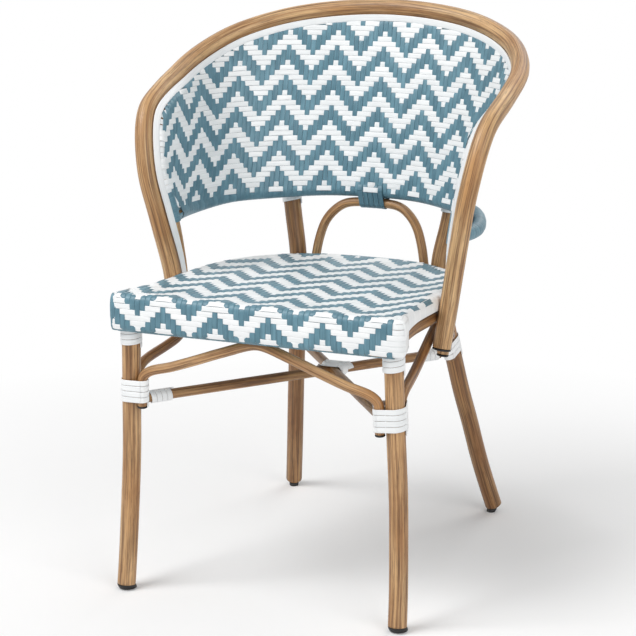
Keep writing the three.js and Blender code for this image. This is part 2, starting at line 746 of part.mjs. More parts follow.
// Bindings round the legs and the ends of the bows
const frontBundle = [
  { x: 0, y: 0, radius: mainCane / 2 },
  { x: frontBowOffsetX, y: frontBowOffsetY, radius: bowCane / 2 },
  { x: sideBowFrontOffsetX, y: sideBowFrontOffsetY, radius: bowCane / 2 },
];
const backBundle = [
  { x: 0, y: 0, radius: mainCane / 2 },
  { x: sideBowBackOffsetX, y: sideBowBackOffsetY, radius: bowCane / 2 },
];
const bundleMirrored = (bundle) => bundle.map(({ x, y, radius }) => ({ x: -x, y, radius }));
[
  ["front_leg_binding_right", frontLegRight, frontBundle],
  ["front_leg_binding_left", frontLegLeft, bundleMirrored(frontBundle)],
  ["back_leg_binding_right", backLegRight, backBundle],
  ["back_leg_binding_left", backLegLeft, bundleMirrored(backBundle)],
].forEach(([name, curve, bundle]) => {
  const frame = legFrame(curve, bindingLow, bindingLength);
  winding(name, frame, legTurns, () => bundle, whiteFinish);
});

// Diagonal stretchers, each from a front leg to the opposite back leg, halved where they cross.
const onLeg = (curve) => curve.getPointAt(shareWhere(curve, "z", stretcherHeight));
function stretcherLine(front, back) {
  const direction = back.clone().sub(front).normalize();
  const start = front.clone().addScaledVector(direction, stretcherFrontStandOff);
  const end = back.clone().addScaledVector(direction, -stretcherBackStandOff);
  return { start, end, direction };
}
const stretcherA = stretcherLine(onLeg(frontLegLeft), onLeg(backLegRight));
const stretcherB = stretcherLine(onLeg(frontLegRight), onLeg(backLegLeft));
const crossShare = -stretcherA.start.x / stretcherA.direction.x;
const crossing = stretcherA.start.clone().addScaledVector(stretcherA.direction, crossShare);
// Room for the crossing stretcher, over or under the middle of this one.
function halving(direction, side) {
  const across = clear(stretcherCane) / 2;
  const box = side > 0 ? [seatingGap / -2, cutOverrun] : [-cutOverrun, seatingGap / 2];
  return boxBetween(vec(-cutOverrun, -across, box[0]), vec(cutOverrun, across, box[1]))
    .rotateZ(Math.atan2(direction.y, direction.x))
    .translate(crossing.x, crossing.y, crossing.z);
}
[
  ["stretcher_front_left_to_back_right", stretcherA, halving(stretcherB.direction, 1)],
  ["stretcher_front_right_to_back_left", stretcherB, halving(stretcherA.direction, -1)],
].forEach(([name, line, notch]) => {
  addMesh(name, cut(bar(line.start, line.end, stretcherCane, legSides), notch), caneFinish);
});

// Bindings on the stretchers' ends
const wrapFrame = (start, direction) =>
  frameAlong(start.clone().addScaledVector(direction, seatingGap), direction, up);
[
  ["stretcher_binding_front_left", stretcherA.start, stretcherA.direction],
  ["stretcher_binding_back_right", stretcherA.end, stretcherA.direction.clone().negate()],
  ["stretcher_binding_front_right", stretcherB.start, stretcherB.direction],
  ["stretcher_binding_back_left", stretcherB.end, stretcherB.direction.clone().negate()],
].forEach(([name, start, direction]) => {
  const frame = wrapFrame(start, direction);
  winding(name, frame, stretcherTurns, oneCircle(stretcherCane), whiteFinish);
});

// Binding round the crossing: it widens as the stretchers part.
const partingShare = stretcherA.direction.x / stretcherA.direction.y;
const ovalGrowth = stretcherCane / 2 / stretcherA.direction.y - stretcherCane / 2;
const centreHalfLength = windingLength(centreTurns) / 2;
const centreStart = crossing.clone().addScaledVector(vec(0, 1, 0), -centreHalfLength);
winding(
  "stretcher_centre_binding",
  frameAlong(centreStart, vec(0, 1, 0), vec(1, 0, 0)),
  centreTurns,
  (height) => {
    const x = Math.abs(height - centreHalfLength) * partingShare + ovalGrowth + seatingGap;
    const radius = stretcherCane / 2;
    return [{ x, y: 0, radius }, { x: -x, y: 0, radius }];
  },
  whiteFinish,
);

// Arch between the seat's back edge and the lower back rail
const archFoot = besideSeat(archHalfWidth, archCane);
const archFootZ = onSeat(0, archFoot.y, ringDrop).z;
const archTopZ = railHeight - railLipRadius - seatingGap - archCane / 2;
const archHalf = archShares.map(([x, rise, reach]) =>
  vec(
    x * archFoot.x,
    THREE.MathUtils.lerp(archFoot.y, railBackReach, reach),
    THREE.MathUtils.lerp(archFootZ, archTopZ, rise),
  ),
);
const archCurve = smooth([...archHalf, ...mirrored(archHalf.slice(0, -1)).reverse()]);
addMesh("arch", cane(archCurve, archCane, archSteps), caneFinish);

const archBindingStart = vec(windingLength(archTurns) / -2, railBackReach, railHeight);
winding(
  "arch_binding",
  frameAlong(archBindingStart, vec(1, 0, 0), vec(0, 1, 0)),
  archTurns,
  (height) => {
    const x = archBindingStart.x + height;
    const [rail, arch] = [railCurve, archCurve].map((curve) =>
      curve.getPointAt(shareWhere(curve, "x", x, ...nearMiddleShares)),
    );
    return [
      { x: rail.y - railBackReach, y: rail.z - railHeight, radius: railLipRadius },
      { x: arch.y - railBackReach, y: arch.z - railHeight, radius: archCane / 2 },
    ];
  },
  blueFinish,
);

// Canes inside the seat: a ring open at the front, two front rails, and the lower ring.
const legClears = [frontLegRight, frontLegLeft].map((curve) =>
  cane(curve, clear(mainCane), legSteps, legSides),
);
const ringFrontY = frontLegPath[0].y + clear(mainCane) / 2;
const ringCurveAt = (inset, drop) =>
  smooth(outlineBehind(inset, ringFrontY).map((p) => onSeat(p.x, p.y, drop)));
const ringCurve = ringCurveAt(edgeRound, ringDrop);
const lowerRingCurve = ringCurveAt(lowerRingInset + lowerRingCane / 2, lowerRingDrop);
addMesh("seat_ring", cut(cane(ringCurve, ringCane, ringSteps), ...legClears), caneFinish);
addMesh(
  "seat_lower_ring",
  cut(cane(lowerRingCurve, lowerRingCane, ringSteps), ...legClears),
  caneFinish,
);
const frontRail = (drop, diameter) =>
  bar(
    onSeat(frontLegPath[0].x, frontRailY, drop),
    onSeat(-frontLegPath[0].x, frontRailY, drop),
    diameter,
  );
addMesh("seat_front_rail", cut(frontRail(ringDrop, ringCane), ...legClears), caneFinish);
addMesh("seat_front_lower_rail", cut(frontRail(lowerRailDrop, ringCane), ...legClears), caneFinish);

// The woven seat: a cover with rounded edges over these canes, with a deep apron at the front.
const bevelSteps = 3;
function roundedSlab(depth) {
  const flat = depth - 2 * edgeRound;
  return new THREE.ExtrudeGeometry(new THREE.Shape(seatOutline(edgeRound)), {
    depth: flat,
    bevelSize: edgeRound,
    bevelThickness: edgeRound,
    bevelSegments: bevelSteps,
  }).translate(0, 0, -flat - edgeRound);
}
const straightSlab = (inset, top, bottom) =>
  new THREE.ExtrudeGeometry(new THREE.Shape(seatOutline(inset)), {
    depth: bottom - top,
    bevelEnabled: false,
  }).translate(0, 0, -bottom);
const apronFront = boxBetween(
  vec(-seatHalfWidth - cutOverrun, -seatFrontReach - cutOverrun, -apronHeight - cutOverrun),
  vec(seatHalfWidth + cutOverrun, -seatFrontReach + apronCornerDepth, cutOverrun),
);
const behindFace = boxBetween(
  vec(-apronOpenHalfWidth, -seatFrontReach + weaveThickness, -lowerRailDrop),
  vec(apronOpenHalfWidth, 0, -ringDrop),
);
const behindLip = boxBetween(
  vec(-seatHalfWidth, frontRailY, -apronHeight - cutOverrun),
  vec(seatHalfWidth, 0, -ringDrop),
);
const tools = [
  cane(ringCurve, clear(ringCane), ringSteps),
  cane(lowerRingCurve, clear(lowerRingCane), ringSteps),
  frontRail(ringDrop, clear(ringCane)),
  frontRail(lowerRailDrop, clear(ringCane)),
  ...[frontLegPath, mirrored(frontLegPath)].map((path) => {
    const tall = [path[0].clone().addScaledVector(up, frontLegHeadroom), ...path];
    return cane(smooth(tall), clear(mainCane), legSteps, legSides);
  }),
];
const tilted = (geometry) => geometry.clone().applyMatrix4(seatTilt);
const cover = toSolid(tilted(roundedSlab(edgeDepth))).add(
  toSolid(tilted(roundedSlab(apronHeight))).intersect(toSolid(tilted(apronFront))),
);
const inside = [straightSlab(edgeRound, weaveThickness, lowerRailDrop), behindFace, behindLip];
const wovenSeat = [...inside.map(tilted), ...tools].reduce(
  (solid, tool) => solid.subtract(toSolid(tool)),
  cover,
);
addMesh("woven_seat", toGeometry(wovenSeat), whiteFinish);

export default chair;
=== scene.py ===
"""A rattan bistro chair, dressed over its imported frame.

The frame's nodes carry the sizes. This script reads the centre lines of the canes and windings
from them, and lays smooth canes, wound strands, moulded end caps and a strand-by-strand twill
weave along those lines. Lengths are in metres, +X is right seen from the front, +Y is back and
+Z is up.
"""
import logging
import math
from abc import ABC, abstractmethod
from dataclasses import dataclass
from enum import Enum
from typing import Any, Optional, Sequence, Union

import bmesh
import bpy
import numpy as np
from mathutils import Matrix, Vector


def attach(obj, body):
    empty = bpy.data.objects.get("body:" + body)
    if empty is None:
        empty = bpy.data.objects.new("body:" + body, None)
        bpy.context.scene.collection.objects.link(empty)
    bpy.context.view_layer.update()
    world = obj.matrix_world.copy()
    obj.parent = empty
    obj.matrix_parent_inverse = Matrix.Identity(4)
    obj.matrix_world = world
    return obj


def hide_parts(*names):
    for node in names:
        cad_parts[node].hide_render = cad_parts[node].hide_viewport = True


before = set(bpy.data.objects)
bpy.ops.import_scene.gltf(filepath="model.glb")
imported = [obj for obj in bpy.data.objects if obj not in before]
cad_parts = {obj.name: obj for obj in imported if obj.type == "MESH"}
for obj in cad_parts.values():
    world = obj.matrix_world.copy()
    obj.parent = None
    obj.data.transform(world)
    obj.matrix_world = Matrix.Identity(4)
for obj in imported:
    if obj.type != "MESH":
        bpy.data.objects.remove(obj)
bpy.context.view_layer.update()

LOG = logging.getLogger("bistro_chair")
Array = np.ndarray
Triple = tuple[float, float, float]
Span = tuple[float, float]
FULL_TURN = 2 * math.pi
QUARTER_TURN = math.pi / 2
RIGHT = np.array([1.0, 0.0, 0.0])
BACK = np.array([0.0, 1.0, 0.0])
UP = np.array([0.0, 0.0, 1.0])
UNMIRRORED = np.ones(3)
MIRROR = np.array([-1.0, 1.0, 1.0])
NEARLY_UPRIGHT = 0.9  # a direction that rises more than this for its length counts as upright


class Slot(Enum):
    """The record's material slots that this script's pieces take their finish from."""

    CANE = "cane"
    CAP = "black_cap"
    WHITE = "white_strand"
    BLUE = "blue_strand"


class CanePaintedLight(Enum):
    """How much light or shade is painted into a cane's colour: pale is painted light, dark is
    painted shade. The value ends its finish's name.
    """

    PALE = "pale"
    MIDDLING = "middling"
    DARK = "dark"


class Side(Enum):
    """The chair's two sides, seen from the front. The value ends the names of their nodes."""

    LEFT = "left"
    RIGHT = "right"


# Vectors and centre lines


def unit(vectors: Array) -> Array:
    """The directions of vectors, at length one."""
    return vectors / np.linalg.norm(vectors, axis=-1, keepdims=True)


def dot(first: Array, second: Array) -> Array:
    """Row by row products of two sets of vectors, with their last axis kept."""
    return np.sum(first * second, axis=-1, keepdims=True)


def squared_to(vectors: Array, axes: Array) -> Array:
    """The directions of vectors once they are made square to axes of length one."""
    return unit(vectors - axes * dot(vectors, axes))


def eased(share: Any) -> Any:
    """A share from 0 to 1, or several, that sets off and arrives gently."""
    return share * share * (3 - 2 * share)


def arc_lengths(points: Array) -> Array:
    """The length travelled from the first of a row of points to each."""
    steps = np.linalg.norm(np.diff(points, axis=0), axis=1)
    return np.concatenate([[0.0], np.cumsum(steps)])


def carried_frames(points: Array) -> tuple[Array, Array]:
    """Two directions square to a line that turn with it and don't twist.

    Args:
        points: points of the line, one a row.

    Returns:
        The two directions at each point. Their cross product runs along the line.
    """
    ahead = unit(np.gradient(points, axis=0))
    seed = UP if abs(ahead[0][2]) < NEARLY_UPRIGHT else BACK
    first = [squared_to(seed, ahead[0])]
    for direction in ahead[1:]:
        first.append(squared_to(first[-1], direction))
    across = np.array(first)
    return across, np.cross(ahead, across)


class CentreLine:
    """A smooth natural cubic through a row of knots, one step from each knot to the next."""

    samples_in_step = 8

    def __init__(self, knots: Array) -> None:
        """Solves the cubic through knots, one point a row."""
        self.knots = np.asarray(knots, dtype=float)
        count = len(self.knots)
        matrix = np.eye(count)
        right = np.zeros_like(self.knots)
        for row in range(1, count - 1):
            matrix[row, row - 1:row + 2] = (1, 4, 1)
            right[row] = 6 * (self.knots[row - 1] - 2 * self.knots[row] + self.knots[row + 1])
        self.bend = np.linalg.solve(matrix, right)

    @property
    def last(self) -> int:
        """The step of the last knot."""
        return len(self.knots) - 1

    def _span(self, steps: Array) -> tuple[Array, Array]:
        """The knot before each step, and the share of the way to the next as a column."""
        before = np.clip(np.floor(steps).astype(int), 0, self.last - 1)
        return before, (steps - before)[:, None]

    def at(self, steps: Array) -> Array:
        """The points at places counted in knots, one a row."""
        k, t = self._span(steps)
        u = 1 - t
        bend = (self.bend[k] * (u ** 3 - u) + self.bend[k + 1] * (t ** 3 - t)) / 6
        return self.knots[k] * u + self.knots[k + 1] * t + bend

    def along(self, steps: Array) -> Array:
        """The line's directions at places counted in knots, one a row."""
        k, t = self._span(steps)
        u = 1 - t
        bend = (self.bend[k] * (1 - 3 * u ** 2) + self.bend[k + 1] * (3 * t ** 2 - 1)) / 6
        return unit(self.knots[k + 1] - self.knots[k] + bend)

    def even(self, spacing: float) -> Array:
        """Steps from the first knot to the last, about a spacing apart along the line."""
        fine = np.linspace(0, self.last, self.last * self.samples_in_step + 1)
        travelled = arc_lengths(self.at(fine))
        count = max(int(round(travelled[-1] / spacing)), 2)
        return np.interp(np.linspace(0, travelled[-1], count + 1), travelled, fine)


# Reading the frame


@dataclass(frozen=True)
class SectionSides:
    """The sides of the swept nodes' sections in the frame."""

    hoop: int = 10
    leg: int = 10
    cane: int = 8
    strand: int = 4


SIDES = SectionSides()


@dataclass(frozen=True)
class FrameReader:
    """Reads the rings that a swept node is made of, without touching its mesh."""

    weld: float = 0.00002
    end_crease: float = math.radians(60)
    middle_tolerance: float = 0.00005
    digits: int = 4

    def points(self, name: str) -> Array:
        """A node's vertices, one a row."""
        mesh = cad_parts[name].data
        flat = np.empty(len(mesh.vertices) * 3)
        mesh.vertices.foreach_get("co", flat)
        return flat.reshape(-1, 3)

    def _welded(self, name: str) -> bmesh.types.BMesh:
        """A welded copy of a node's mesh."""
        shape = bmesh.new()
        shape.from_mesh(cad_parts[name].data)
        bmesh.ops.remove_doubles(shape, verts=shape.verts[:], dist=self.weld)
        shape.verts.index_update()
        return shape

    def _grown(self, start: set, keep: set, sides: int) -> list:
        """Grows layers of vertices over the edges.

        Args:
            start: the first layer.
            keep: the vertices that a layer may hold.
            sides: vertices in a ring.

        Returns:
            The layers that are rings, each as an array of points.
        """
        seen = set(start)
        layers = [set(start)]
        while layers[-1]:
            beside = {e.other_vert(vertex) for vertex in layers[-1] for e in vertex.link_edges}
            layers.append((beside & keep) - seen)
            seen |= layers[-1]
        rings = [sorted(layer, key=lambda v: v.index) for layer in layers if len(layer) == sides]
        return [np.array([tuple(v.co) for v in ring]) for ring in rings]

    def rings(self, name: str, sides: int) -> list:
        """The rings of a swept node with two ends.

        Args:
            name: the node.
            sides: vertices in a ring.

        Returns:
            The rings from the lower end to the other, each with one point a row.
        """
        shape = self._welded(name)
        sharp = set()
        for edge in shape.edges:
            if len(edge.link_faces) == 2 and edge.calc_face_angle() > self.end_crease:
                sharp.add(edge)
        # A four-cornered strand's long edges are sharp too, and every vertex has two of them.
        wanted = 3 if sides == SIDES.strand else 2
        rims = {v for v in shape.verts if sum(e in sharp for e in v.link_edges) >= wanted}
        first = min(rims, key=lambda v: [round(v.co[axis], self.digits) for axis in (2, 0, 1)])
        start = {first}
        waiting = [first]
        while waiting:
            vertex = waiting.pop()
            for edge in vertex.link_edges:
                other = edge.other_vert(vertex)
                if edge in sharp and other in rims and other not in start:
                    start.add(other)
                    waiting.append(other)
        rings = self._grown(start, set(shape.verts), sides)
        shape.free()
        return rings

    def half_rings(self, name: str, sides: int) -> list:
        """The rings of a mirrored swept node.

        Args:
            name: the node.
            sides: vertices in a ring.

        Returns:
            The rings from its middle out to its right end, each with one point a row.
        """
        shape = self._welded(name)
        keep = {v for v in shape.verts if v.co.x > -self.middle_tolerance}
        start = {v for v in keep if v.co.x < self.middle_tolerance}
        rings = self._grown(start, keep, sides)
        shape.free()
        return rings


READER = FrameReader()


@dataclass(frozen=True)
class CaneLine:
    """A cane's centre line and the radius at its knots."""

    line: CentreLine
    radii: Array

    @staticmethod
    def of(rings: list) -> "CaneLine":
        """The line through the middles of rings in order."""
        middles = np.array([ring.mean(axis=0) for ring in rings])
        radii = [np.linalg.norm(ring - m, axis=1).mean() for ring, m in zip(rings, middles)]
        return CaneLine(CentreLine(middles), np.array(radii))

    @staticmethod
    def mirrored(name: str, sides: int) -> "CaneLine":
        """The whole line of a mirrored cane.

        Args:
            name: its node.
            sides: vertices in a ring.

        Returns:
            The cane's line from its left end to its right end.
        """
        half = CaneLine.of(READER.half_rings(name, sides))
        middles = half.line.knots.copy()
        middles[0][0] = 0.0
        whole = np.concatenate([(middles * MIRROR)[::-1][:-1], middles])
        radii = np.concatenate([half.radii[::-1][:-1], half.radii])
        return CaneLine(CentreLine(whole), radii)


# Shader graphs


class Wire:
    """An output of a node. Python's operators on it add Math nodes."""

    def __init__(self, graph: "Graph", socket: bpy.types.NodeSocket) -> None:
        """Wraps an output socket of a graph."""
        self.graph = graph
        self.socket = socket

    def __add__(self, other: Union["Wire", float]) -> "Wire":
        """The sum."""
        return self.graph.maths("ADD", self, other)

    def __sub__(self, other: Union["Wire", float]) -> "Wire":
        """The difference."""
        return self.graph.maths("SUBTRACT", self, other)

    def __rsub__(self, other: float) -> "Wire":
        """The difference, with a number first."""
        return self.graph.maths("SUBTRACT", other, self)

    def __mul__(self, other: Union["Wire", float]) -> "Wire":
        """The product."""
        return self.graph.maths("MULTIPLY", self, other)

    __radd__ = __add__
    __rmul__ = __mul__


@dataclass(frozen=True)
class Waves:
    """Smooth noise, with its waves a metre across the grain and along it."""

    across: float
    along: float
    detail: float
    roughness: float = 0.5


def linear(code: str) -> Triple:
    """The linear red, green and blue of a web colour code, by the sRGB standard's curve."""
    shares = [int(code[k:k + 2], 16) / 255 for k in (0, 2, 4)]
    lit = [s / 12.92 if s <= 0.04045 else ((s + 0.055) / 1.055) ** 2.4 for s in shares]
    return (lit[0], lit[1], lit[2])


class Graph:
    """Builds a node tree from typed calls."""

    white = (1.0, 1.0, 1.0, 1.0)

    def __init__(self, tree: bpy.types.NodeTree) -> None:
        """Empties the node tree of a material or the world to build in."""
        self.tree = tree
        self.tree.nodes.clear()

    def node(
        self,
        kind: str,
        settings: Optional[dict[str, Any]] = None,
        sockets: Optional[dict[Any, Any]] = None,
    ) -> bpy.types.Node:
        """Adds a node.

        Args:
            kind: the node's type.
            settings: its properties, set first.
            sockets: values or wires for its inputs, by name or number.

        Returns:
            The node.
        """
        made = self.tree.nodes.new(kind)
        for name, value in (settings or {}).items():
            setattr(made, name, value)
        for name, value in (sockets or {}).items():
            if isinstance(value, Wire):
                self.tree.links.new(value.socket, made.inputs[name])
            else:
                made.inputs[name].default_value = value
        return made

    def out(self, made: bpy.types.Node, name: Any = 0) -> Wire:
        """One output of a node, by name or number."""
        return Wire(self, made.outputs[name])

    def maths(self, operation: str, *values: Any) -> Wire:
        """The result of a Math node on numbers or wires."""
        made = self.node("ShaderNodeMath", {"operation": operation}, dict(enumerate(values)))
        return self.out(made)

    def vectors(self, operation: str, *values: Any) -> Wire:
        """The result of a Vector Math node on vectors or wires."""
        made = self.node("ShaderNodeVectorMath", {"operation": operation}, dict(enumerate(values)))
        return self.out(made)

    def noise(self, place: Wire, scale: float, detail: float, roughness: float = 0.5) -> Wire:
        """Smooth noise.

        Args:
            place: where it is read.
            scale: waves a unit.
            detail: octaves.
            roughness: strength of each octave beside the one before.

        Returns:
            A value about 0.5.
        """
        sockets = {"Vector": place, "Scale": scale, "Detail": detail, "Roughness": roughness}
        return self.out(self.node("ShaderNodeTexNoise", None, sockets), "Fac")

    def waves(self, place: Wire, shift: Wire, waves: Waves) -> Wire:
        """Noise stretched along the grain.

        Args:
            place: across, out and along the grain, in metres.
            shift: what is added to every axis, so that no two strands are alike.
            waves: the noise.

        Returns:
            A value about 0.5.
        """
        stretched = self.vectors("MULTIPLY", place, (waves.across, waves.across, waves.along))
        joined = self.out(self.node("ShaderNodeCombineXYZ", None, {0: shift, 1: shift, 2: shift}))
        return self.noise(
            self.vectors("ADD", stretched, joined), 1.0, waves.detail, waves.roughness
        )

    def mixed(self, share: Any, first: Any, second: Any) -> Wire:
        """Two colours mixed.

        Args:
            share: share of the second.
            first: a web colour code or a wire.
            second: a web colour code or a wire.

        Returns:
            The mix.
        """
        colours = [c if isinstance(c, Wire) else (*linear(c), 1.0) for c in (first, second)]
        # Inputs 6 and 7 of a Mix node, and its output 2, are its colours.
        made = self.node(
            "ShaderNodeMix",
            {"data_type": "RGBA", "clamp_factor": True},
            {0: share, 6: colours[0], 7: colours[1]},
        )
        return self.out(made, 2)

    def ranged(self, value: Wire, low: float, high: float) -> Wire:
        """A value stretched so that low becomes 0 and high becomes 1, and held there."""
        sockets = {"Value": value, "From Min": low, "From Max": high}
        return self.out(self.node("ShaderNodeMapRange", {"clamp": True}, sockets))

    def attribute(self, name: str, output: str) -> Wire:
        """A value that the mesh carries."""
        return self.out(self.node("ShaderNodeAttribute", {"attribute_name": name}), output)

    def own_place(self) -> Wire:
        """The place in the object's own axes, in metres."""
        return self.out(self.node("ShaderNodeTexCoord"), "Object")

    def bumped(self, height: Wire, depth: float, strength: float) -> Wire:
        """A normal from heights.

        Args:
            height: the height, 0 to 1.
            depth: the length of a height of 1.
            strength: how much of it shows.

        Returns:
            The normal.
        """
        sockets = {"Height": height, "Distance": depth, "Strength": strength}
        return self.out(self.node("ShaderNodeBump", None, sockets), "Normal")

    def principled(self, sockets: dict[str, Any]) -> Wire:
        """A Principled shader with values or wires for its inputs."""
        return self.out(self.node("ShaderNodeBsdfPrincipled", None, sockets))

    def shared(self, share: Wire, first: Wire, second: Wire) -> Wire:
        """Two shaders mixed by the share of the second."""
        return self.out(
            self.node("ShaderNodeMixShader", None, {0: share, 1: first, 2: second})
        )

    def seen(self) -> Wire:
        """1 for rays from the camera, off a glossy surface or through a clear one, and else 0."""
        rays = self.node("ShaderNodeLightPath")
        camera, glossy, through = (
            self.out(rays, name)
            for name in ("Is Camera Ray", "Is Glossy Ray", "Is Transmission Ray")
        )
        return self.maths("MAXIMUM", camera, self.maths("MAXIMUM", glossy, through))


# Finishes


@dataclass(frozen=True)
class Finish(ABC):
    """What every finish has: a name, and a material that is made from its surface."""

    name: str

    def made(self) -> bpy.types.Material:
        """Builds the material."""
        material = bpy.data.materials.new(self.name)
        material.use_nodes = True
        graph = Graph(material.node_tree)
        graph.node("ShaderNodeOutputMaterial", None, {"Surface": self._surface(graph)})
        return material

    @abstractmethod
    def _surface(self, graph: Graph) -> Wire:
        """The shader of the material's surface."""


@dataclass(frozen=True)
class CaneFinish(Finish):
    """Peeled and lacquered cane: brown, with dark grain streaks, blotches and joints."""

    pale: str
    middle: str
    deep: str
    streak: str
    tone_shift: float = 7.0
    cloud: Waves = Waves(30.0, 8.0, 3.0)
    cloud_span: Span = (0.35, 0.65)
    blotch: Waves = Waves(190.0, 4.0, 4.0, 0.6)
    blotch_span: Span = (0.44, 0.62)
    blotch_strength: float = 0.7
    line: Waves = Waves(430.0, 9.0, 4.0, 0.7)
    line_span: Span = (0.48, 0.6)
    line_strength: float = 0.62
    line_depth: float = 0.6
    pore: Waves = Waves(900.0, 60.0, 2.0)
    pore_span: Span = (0.6, 0.72)
    pore_strength: float = 0.45
    pit_span: Span = (0.6, 0.75)
    pit_depth: float = 0.4
    joint_strength: float = 0.12
    joint_depth: float = 0.1
    roughness: float = 0.4
    wear_span: Span = (0.3, 0.75)
    wear_roughness: float = 0.16
    coat: float = 0.18
    coat_roughness: float = 0.22
    grain_depth: float = 0.0003
    grain_strength: float = 0.6

    def _surface(self, graph: Graph) -> Wire:
        """The shader of the material's surface."""
        place = graph.attribute("grain", "Vector")
        joint = graph.attribute("joint", "Fac")
        shift = graph.attribute("tone", "Fac") * self.tone_shift
        blotches = graph.waves(place, shift, self.blotch)
        pores = graph.waves(place, shift, self.pore)
        clouds = graph.ranged(graph.waves(place, shift, self.cloud), *self.cloud_span)
        lines = graph.ranged(graph.waves(place, shift, self.line), *self.line_span)
        colour = graph.mixed(clouds, self.middle, self.pale)
        for share, over in (
            (graph.ranged(blotches, *self.blotch_span) * self.blotch_strength, self.deep),
            (lines * self.line_strength, self.streak),
            (graph.ranged(pores, *self.pore_span) * self.pore_strength, self.streak),
            (joint * self.joint_strength, self.deep),
        ):
            colour = graph.mixed(share, colour, over)
        pits = graph.ranged(pores, *self.pit_span) * self.pit_depth
        height = 1.0 - lines * self.line_depth - pits - joint * self.joint_depth
        wear = graph.ranged(blotches, *self.wear_span) * self.wear_roughness
        return graph.principled({
            "Base Color": colour,
            "Roughness": self.roughness + wear,
            "Coat Weight": self.coat,
            "Coat Roughness": self.coat_roughness,
            "Normal": graph.bumped(height, self.grain_depth, self.grain_strength),
        })


@dataclass(frozen=True)
class StrandFinish(Finish):
    """A flat woven strand of tinted plastic, ribbed along its length."""

    pale: str
    middle: str
    deep: str
    roughness: float
    soil_strength: float = 0.25
    tone_shift: float = 13.0
    tone_strength: float = 0.35
    rib: Waves = Waves(900.0, 6.0, 2.0, 0.6)
    rib_span: Span = (0.48, 0.7)
    rib_strength: float = 0.45
    ridge_span: Span = (0.35, 0.7)
    ridge_share: float = 0.8
    drift: Waves = Waves(60.0, 35.0, 3.0)
    drift_span: Span = (0.3, 0.7)
    drift_roughness: float = 0.14
    speck: Waves = Waves(700.0, 420.0, 2.0)
    speck_span: Span = (0.62, 0.76)
    coat: float = 0.1
    coat_roughness: float = 0.3
    rib_depth: float = 0.00012
    grain_strength: float = 0.5

    def _surface(self, graph: Graph) -> Wire:
        """The shader of the material's surface."""
        place = graph.attribute("grain", "Vector")
        tone = graph.attribute("tone", "Fac")
        shift = tone * self.tone_shift
        ribs = graph.waves(place, shift, self.rib)
        drift = graph.waves(place, shift, self.drift)
        specks = graph.waves(place, shift, self.speck)
        colour = graph.mixed(graph.ranged(drift, *self.drift_span), self.middle, self.pale)
        for share in (
            graph.ranged(ribs, *self.rib_span) * self.rib_strength,
            tone * self.tone_strength,
            graph.ranged(specks, *self.speck_span) * self.soil_strength,
        ):
            colour = graph.mixed(share, colour, self.deep)
        ridges = graph.ranged(ribs, *self.ridge_span) * self.ridge_share
        height = ridges + specks * (1 - self.ridge_share)
        return graph.principled({
            "Base Color": colour,
            "Roughness": self.roughness + drift * self.drift_roughness,
            "Coat Weight": self.coat,
            "Coat Roughness": self.coat_roughness,
            "Normal": graph.bumped(height, self.rib_depth, self.grain_strength),
        })


@dataclass(frozen=True)
class CapFinish(Finish):
    """Moulded black rubber, finely grained and scuffed."""

    name: str = "cap_rubber"
    dark: str = "141414"
    scuffed: str = "3a3938"
    scuff_scale: float = 180.0
    scuff_detail: float = 5.0
    scuff_octaves: float = 0.65
    scuff_span: Span = (0.52, 0.8)
    scuff_strength: float = 0.6
    roughness: float = 0.5
    scuff_roughness: float = 0.2
    grain_scale: float = 2600.0
    grain_detail: float = 2.0
    grain_depth: float = 0.00012
    grain_strength: float = 0.4

    def _surface(self, graph: Graph) -> Wire:
        """The shader of the material's surface."""
        place = graph.own_place()
        scuff = graph.noise(place, self.scuff_scale, self.scuff_detail, self.scuff_octaves)
        grain = graph.noise(place, self.grain_scale, self.grain_detail)
        worn = graph.ranged(scuff, *self.scuff_span) * self.scuff_strength
        return graph.principled({
            "Base Color": graph.mixed(worn, self.dark, self.scuffed),
            "Roughness": self.roughness + scuff * self.scuff_roughness,
            "Normal": graph.bumped(grain, self.grain_depth, self.grain_strength),
        })


@dataclass(frozen=True)
class FloorFinish(Finish):
    """A plain white studio floor, which keeps the chair's soft shadow and fades to white."""

    name: str = "studio_floor"
    colour: str = "fdfdfd"
    roughness: float = 0.9
    fade_span: Span = (0.3, 1.25)

    def _surface(self, graph: Graph) -> Wire:
        """The shader of the material's surface, clear from below."""
        near = graph.principled({
            "Base Color": (*linear(self.colour), 1.0),
            "Roughness": self.roughness,
            "Specular IOR Level": 0.0,
        })
        measured = graph.node(
            "ShaderNodeVectorMath", {"operation": "LENGTH"}, {0: graph.own_place()}
        )
        far = graph.ranged(graph.out(measured, "Value"), *self.fade_span)
        white = graph.node("ShaderNodeEmission", None, {"Color": graph.white, "Strength": 1.0})
        above = graph.shared(far * graph.seen(), near, graph.out(white))
        below = graph.out(graph.node("ShaderNodeNewGeometry"), "Backfacing")
        return graph.shared(below, above, graph.out(graph.node("ShaderNodeBsdfTransparent")))


class Finishes:
    """The built finishes, by the slot that each fills."""

    def __init__(self) -> None:
        """Builds every finish once."""
        white = StrandFinish("strand_white", "fcfdfd", "f5f7f8", "dcdfe0", 0.34, 0.12)
        blue = StrandFinish("strand_blue", "709aaa", "56808f", "365b6c", 0.36)
        # One cane in three tints: the pale tint is the cane with painted light, the dark tint the
        # cane with painted shade, the middling tint the cane as lit.
        lit_and_shaded_tints = {
            CanePaintedLight.PALE: ("e0ba88", "be8e5a", "85592e", "4a2b12"),
            CanePaintedLight.MIDDLING: ("d6ad7c", "b58451", "7d5129", "452811"),
            CanePaintedLight.DARK: ("b88f5e", "9a6b3c", "6a411d", "3a200c"),
        }
        self.floor = FloorFinish().made()
        self.canes = {
            shade: CaneFinish(f"cane_{shade.value}", *codes).made()
            for shade, codes in lit_and_shaded_tints.items()
        }
        self.by_slot = {
            Slot.CAP: CapFinish().made(),
            Slot.WHITE: white.made(),
            Slot.BLUE: blue.made(),
        }


# Swept meshes


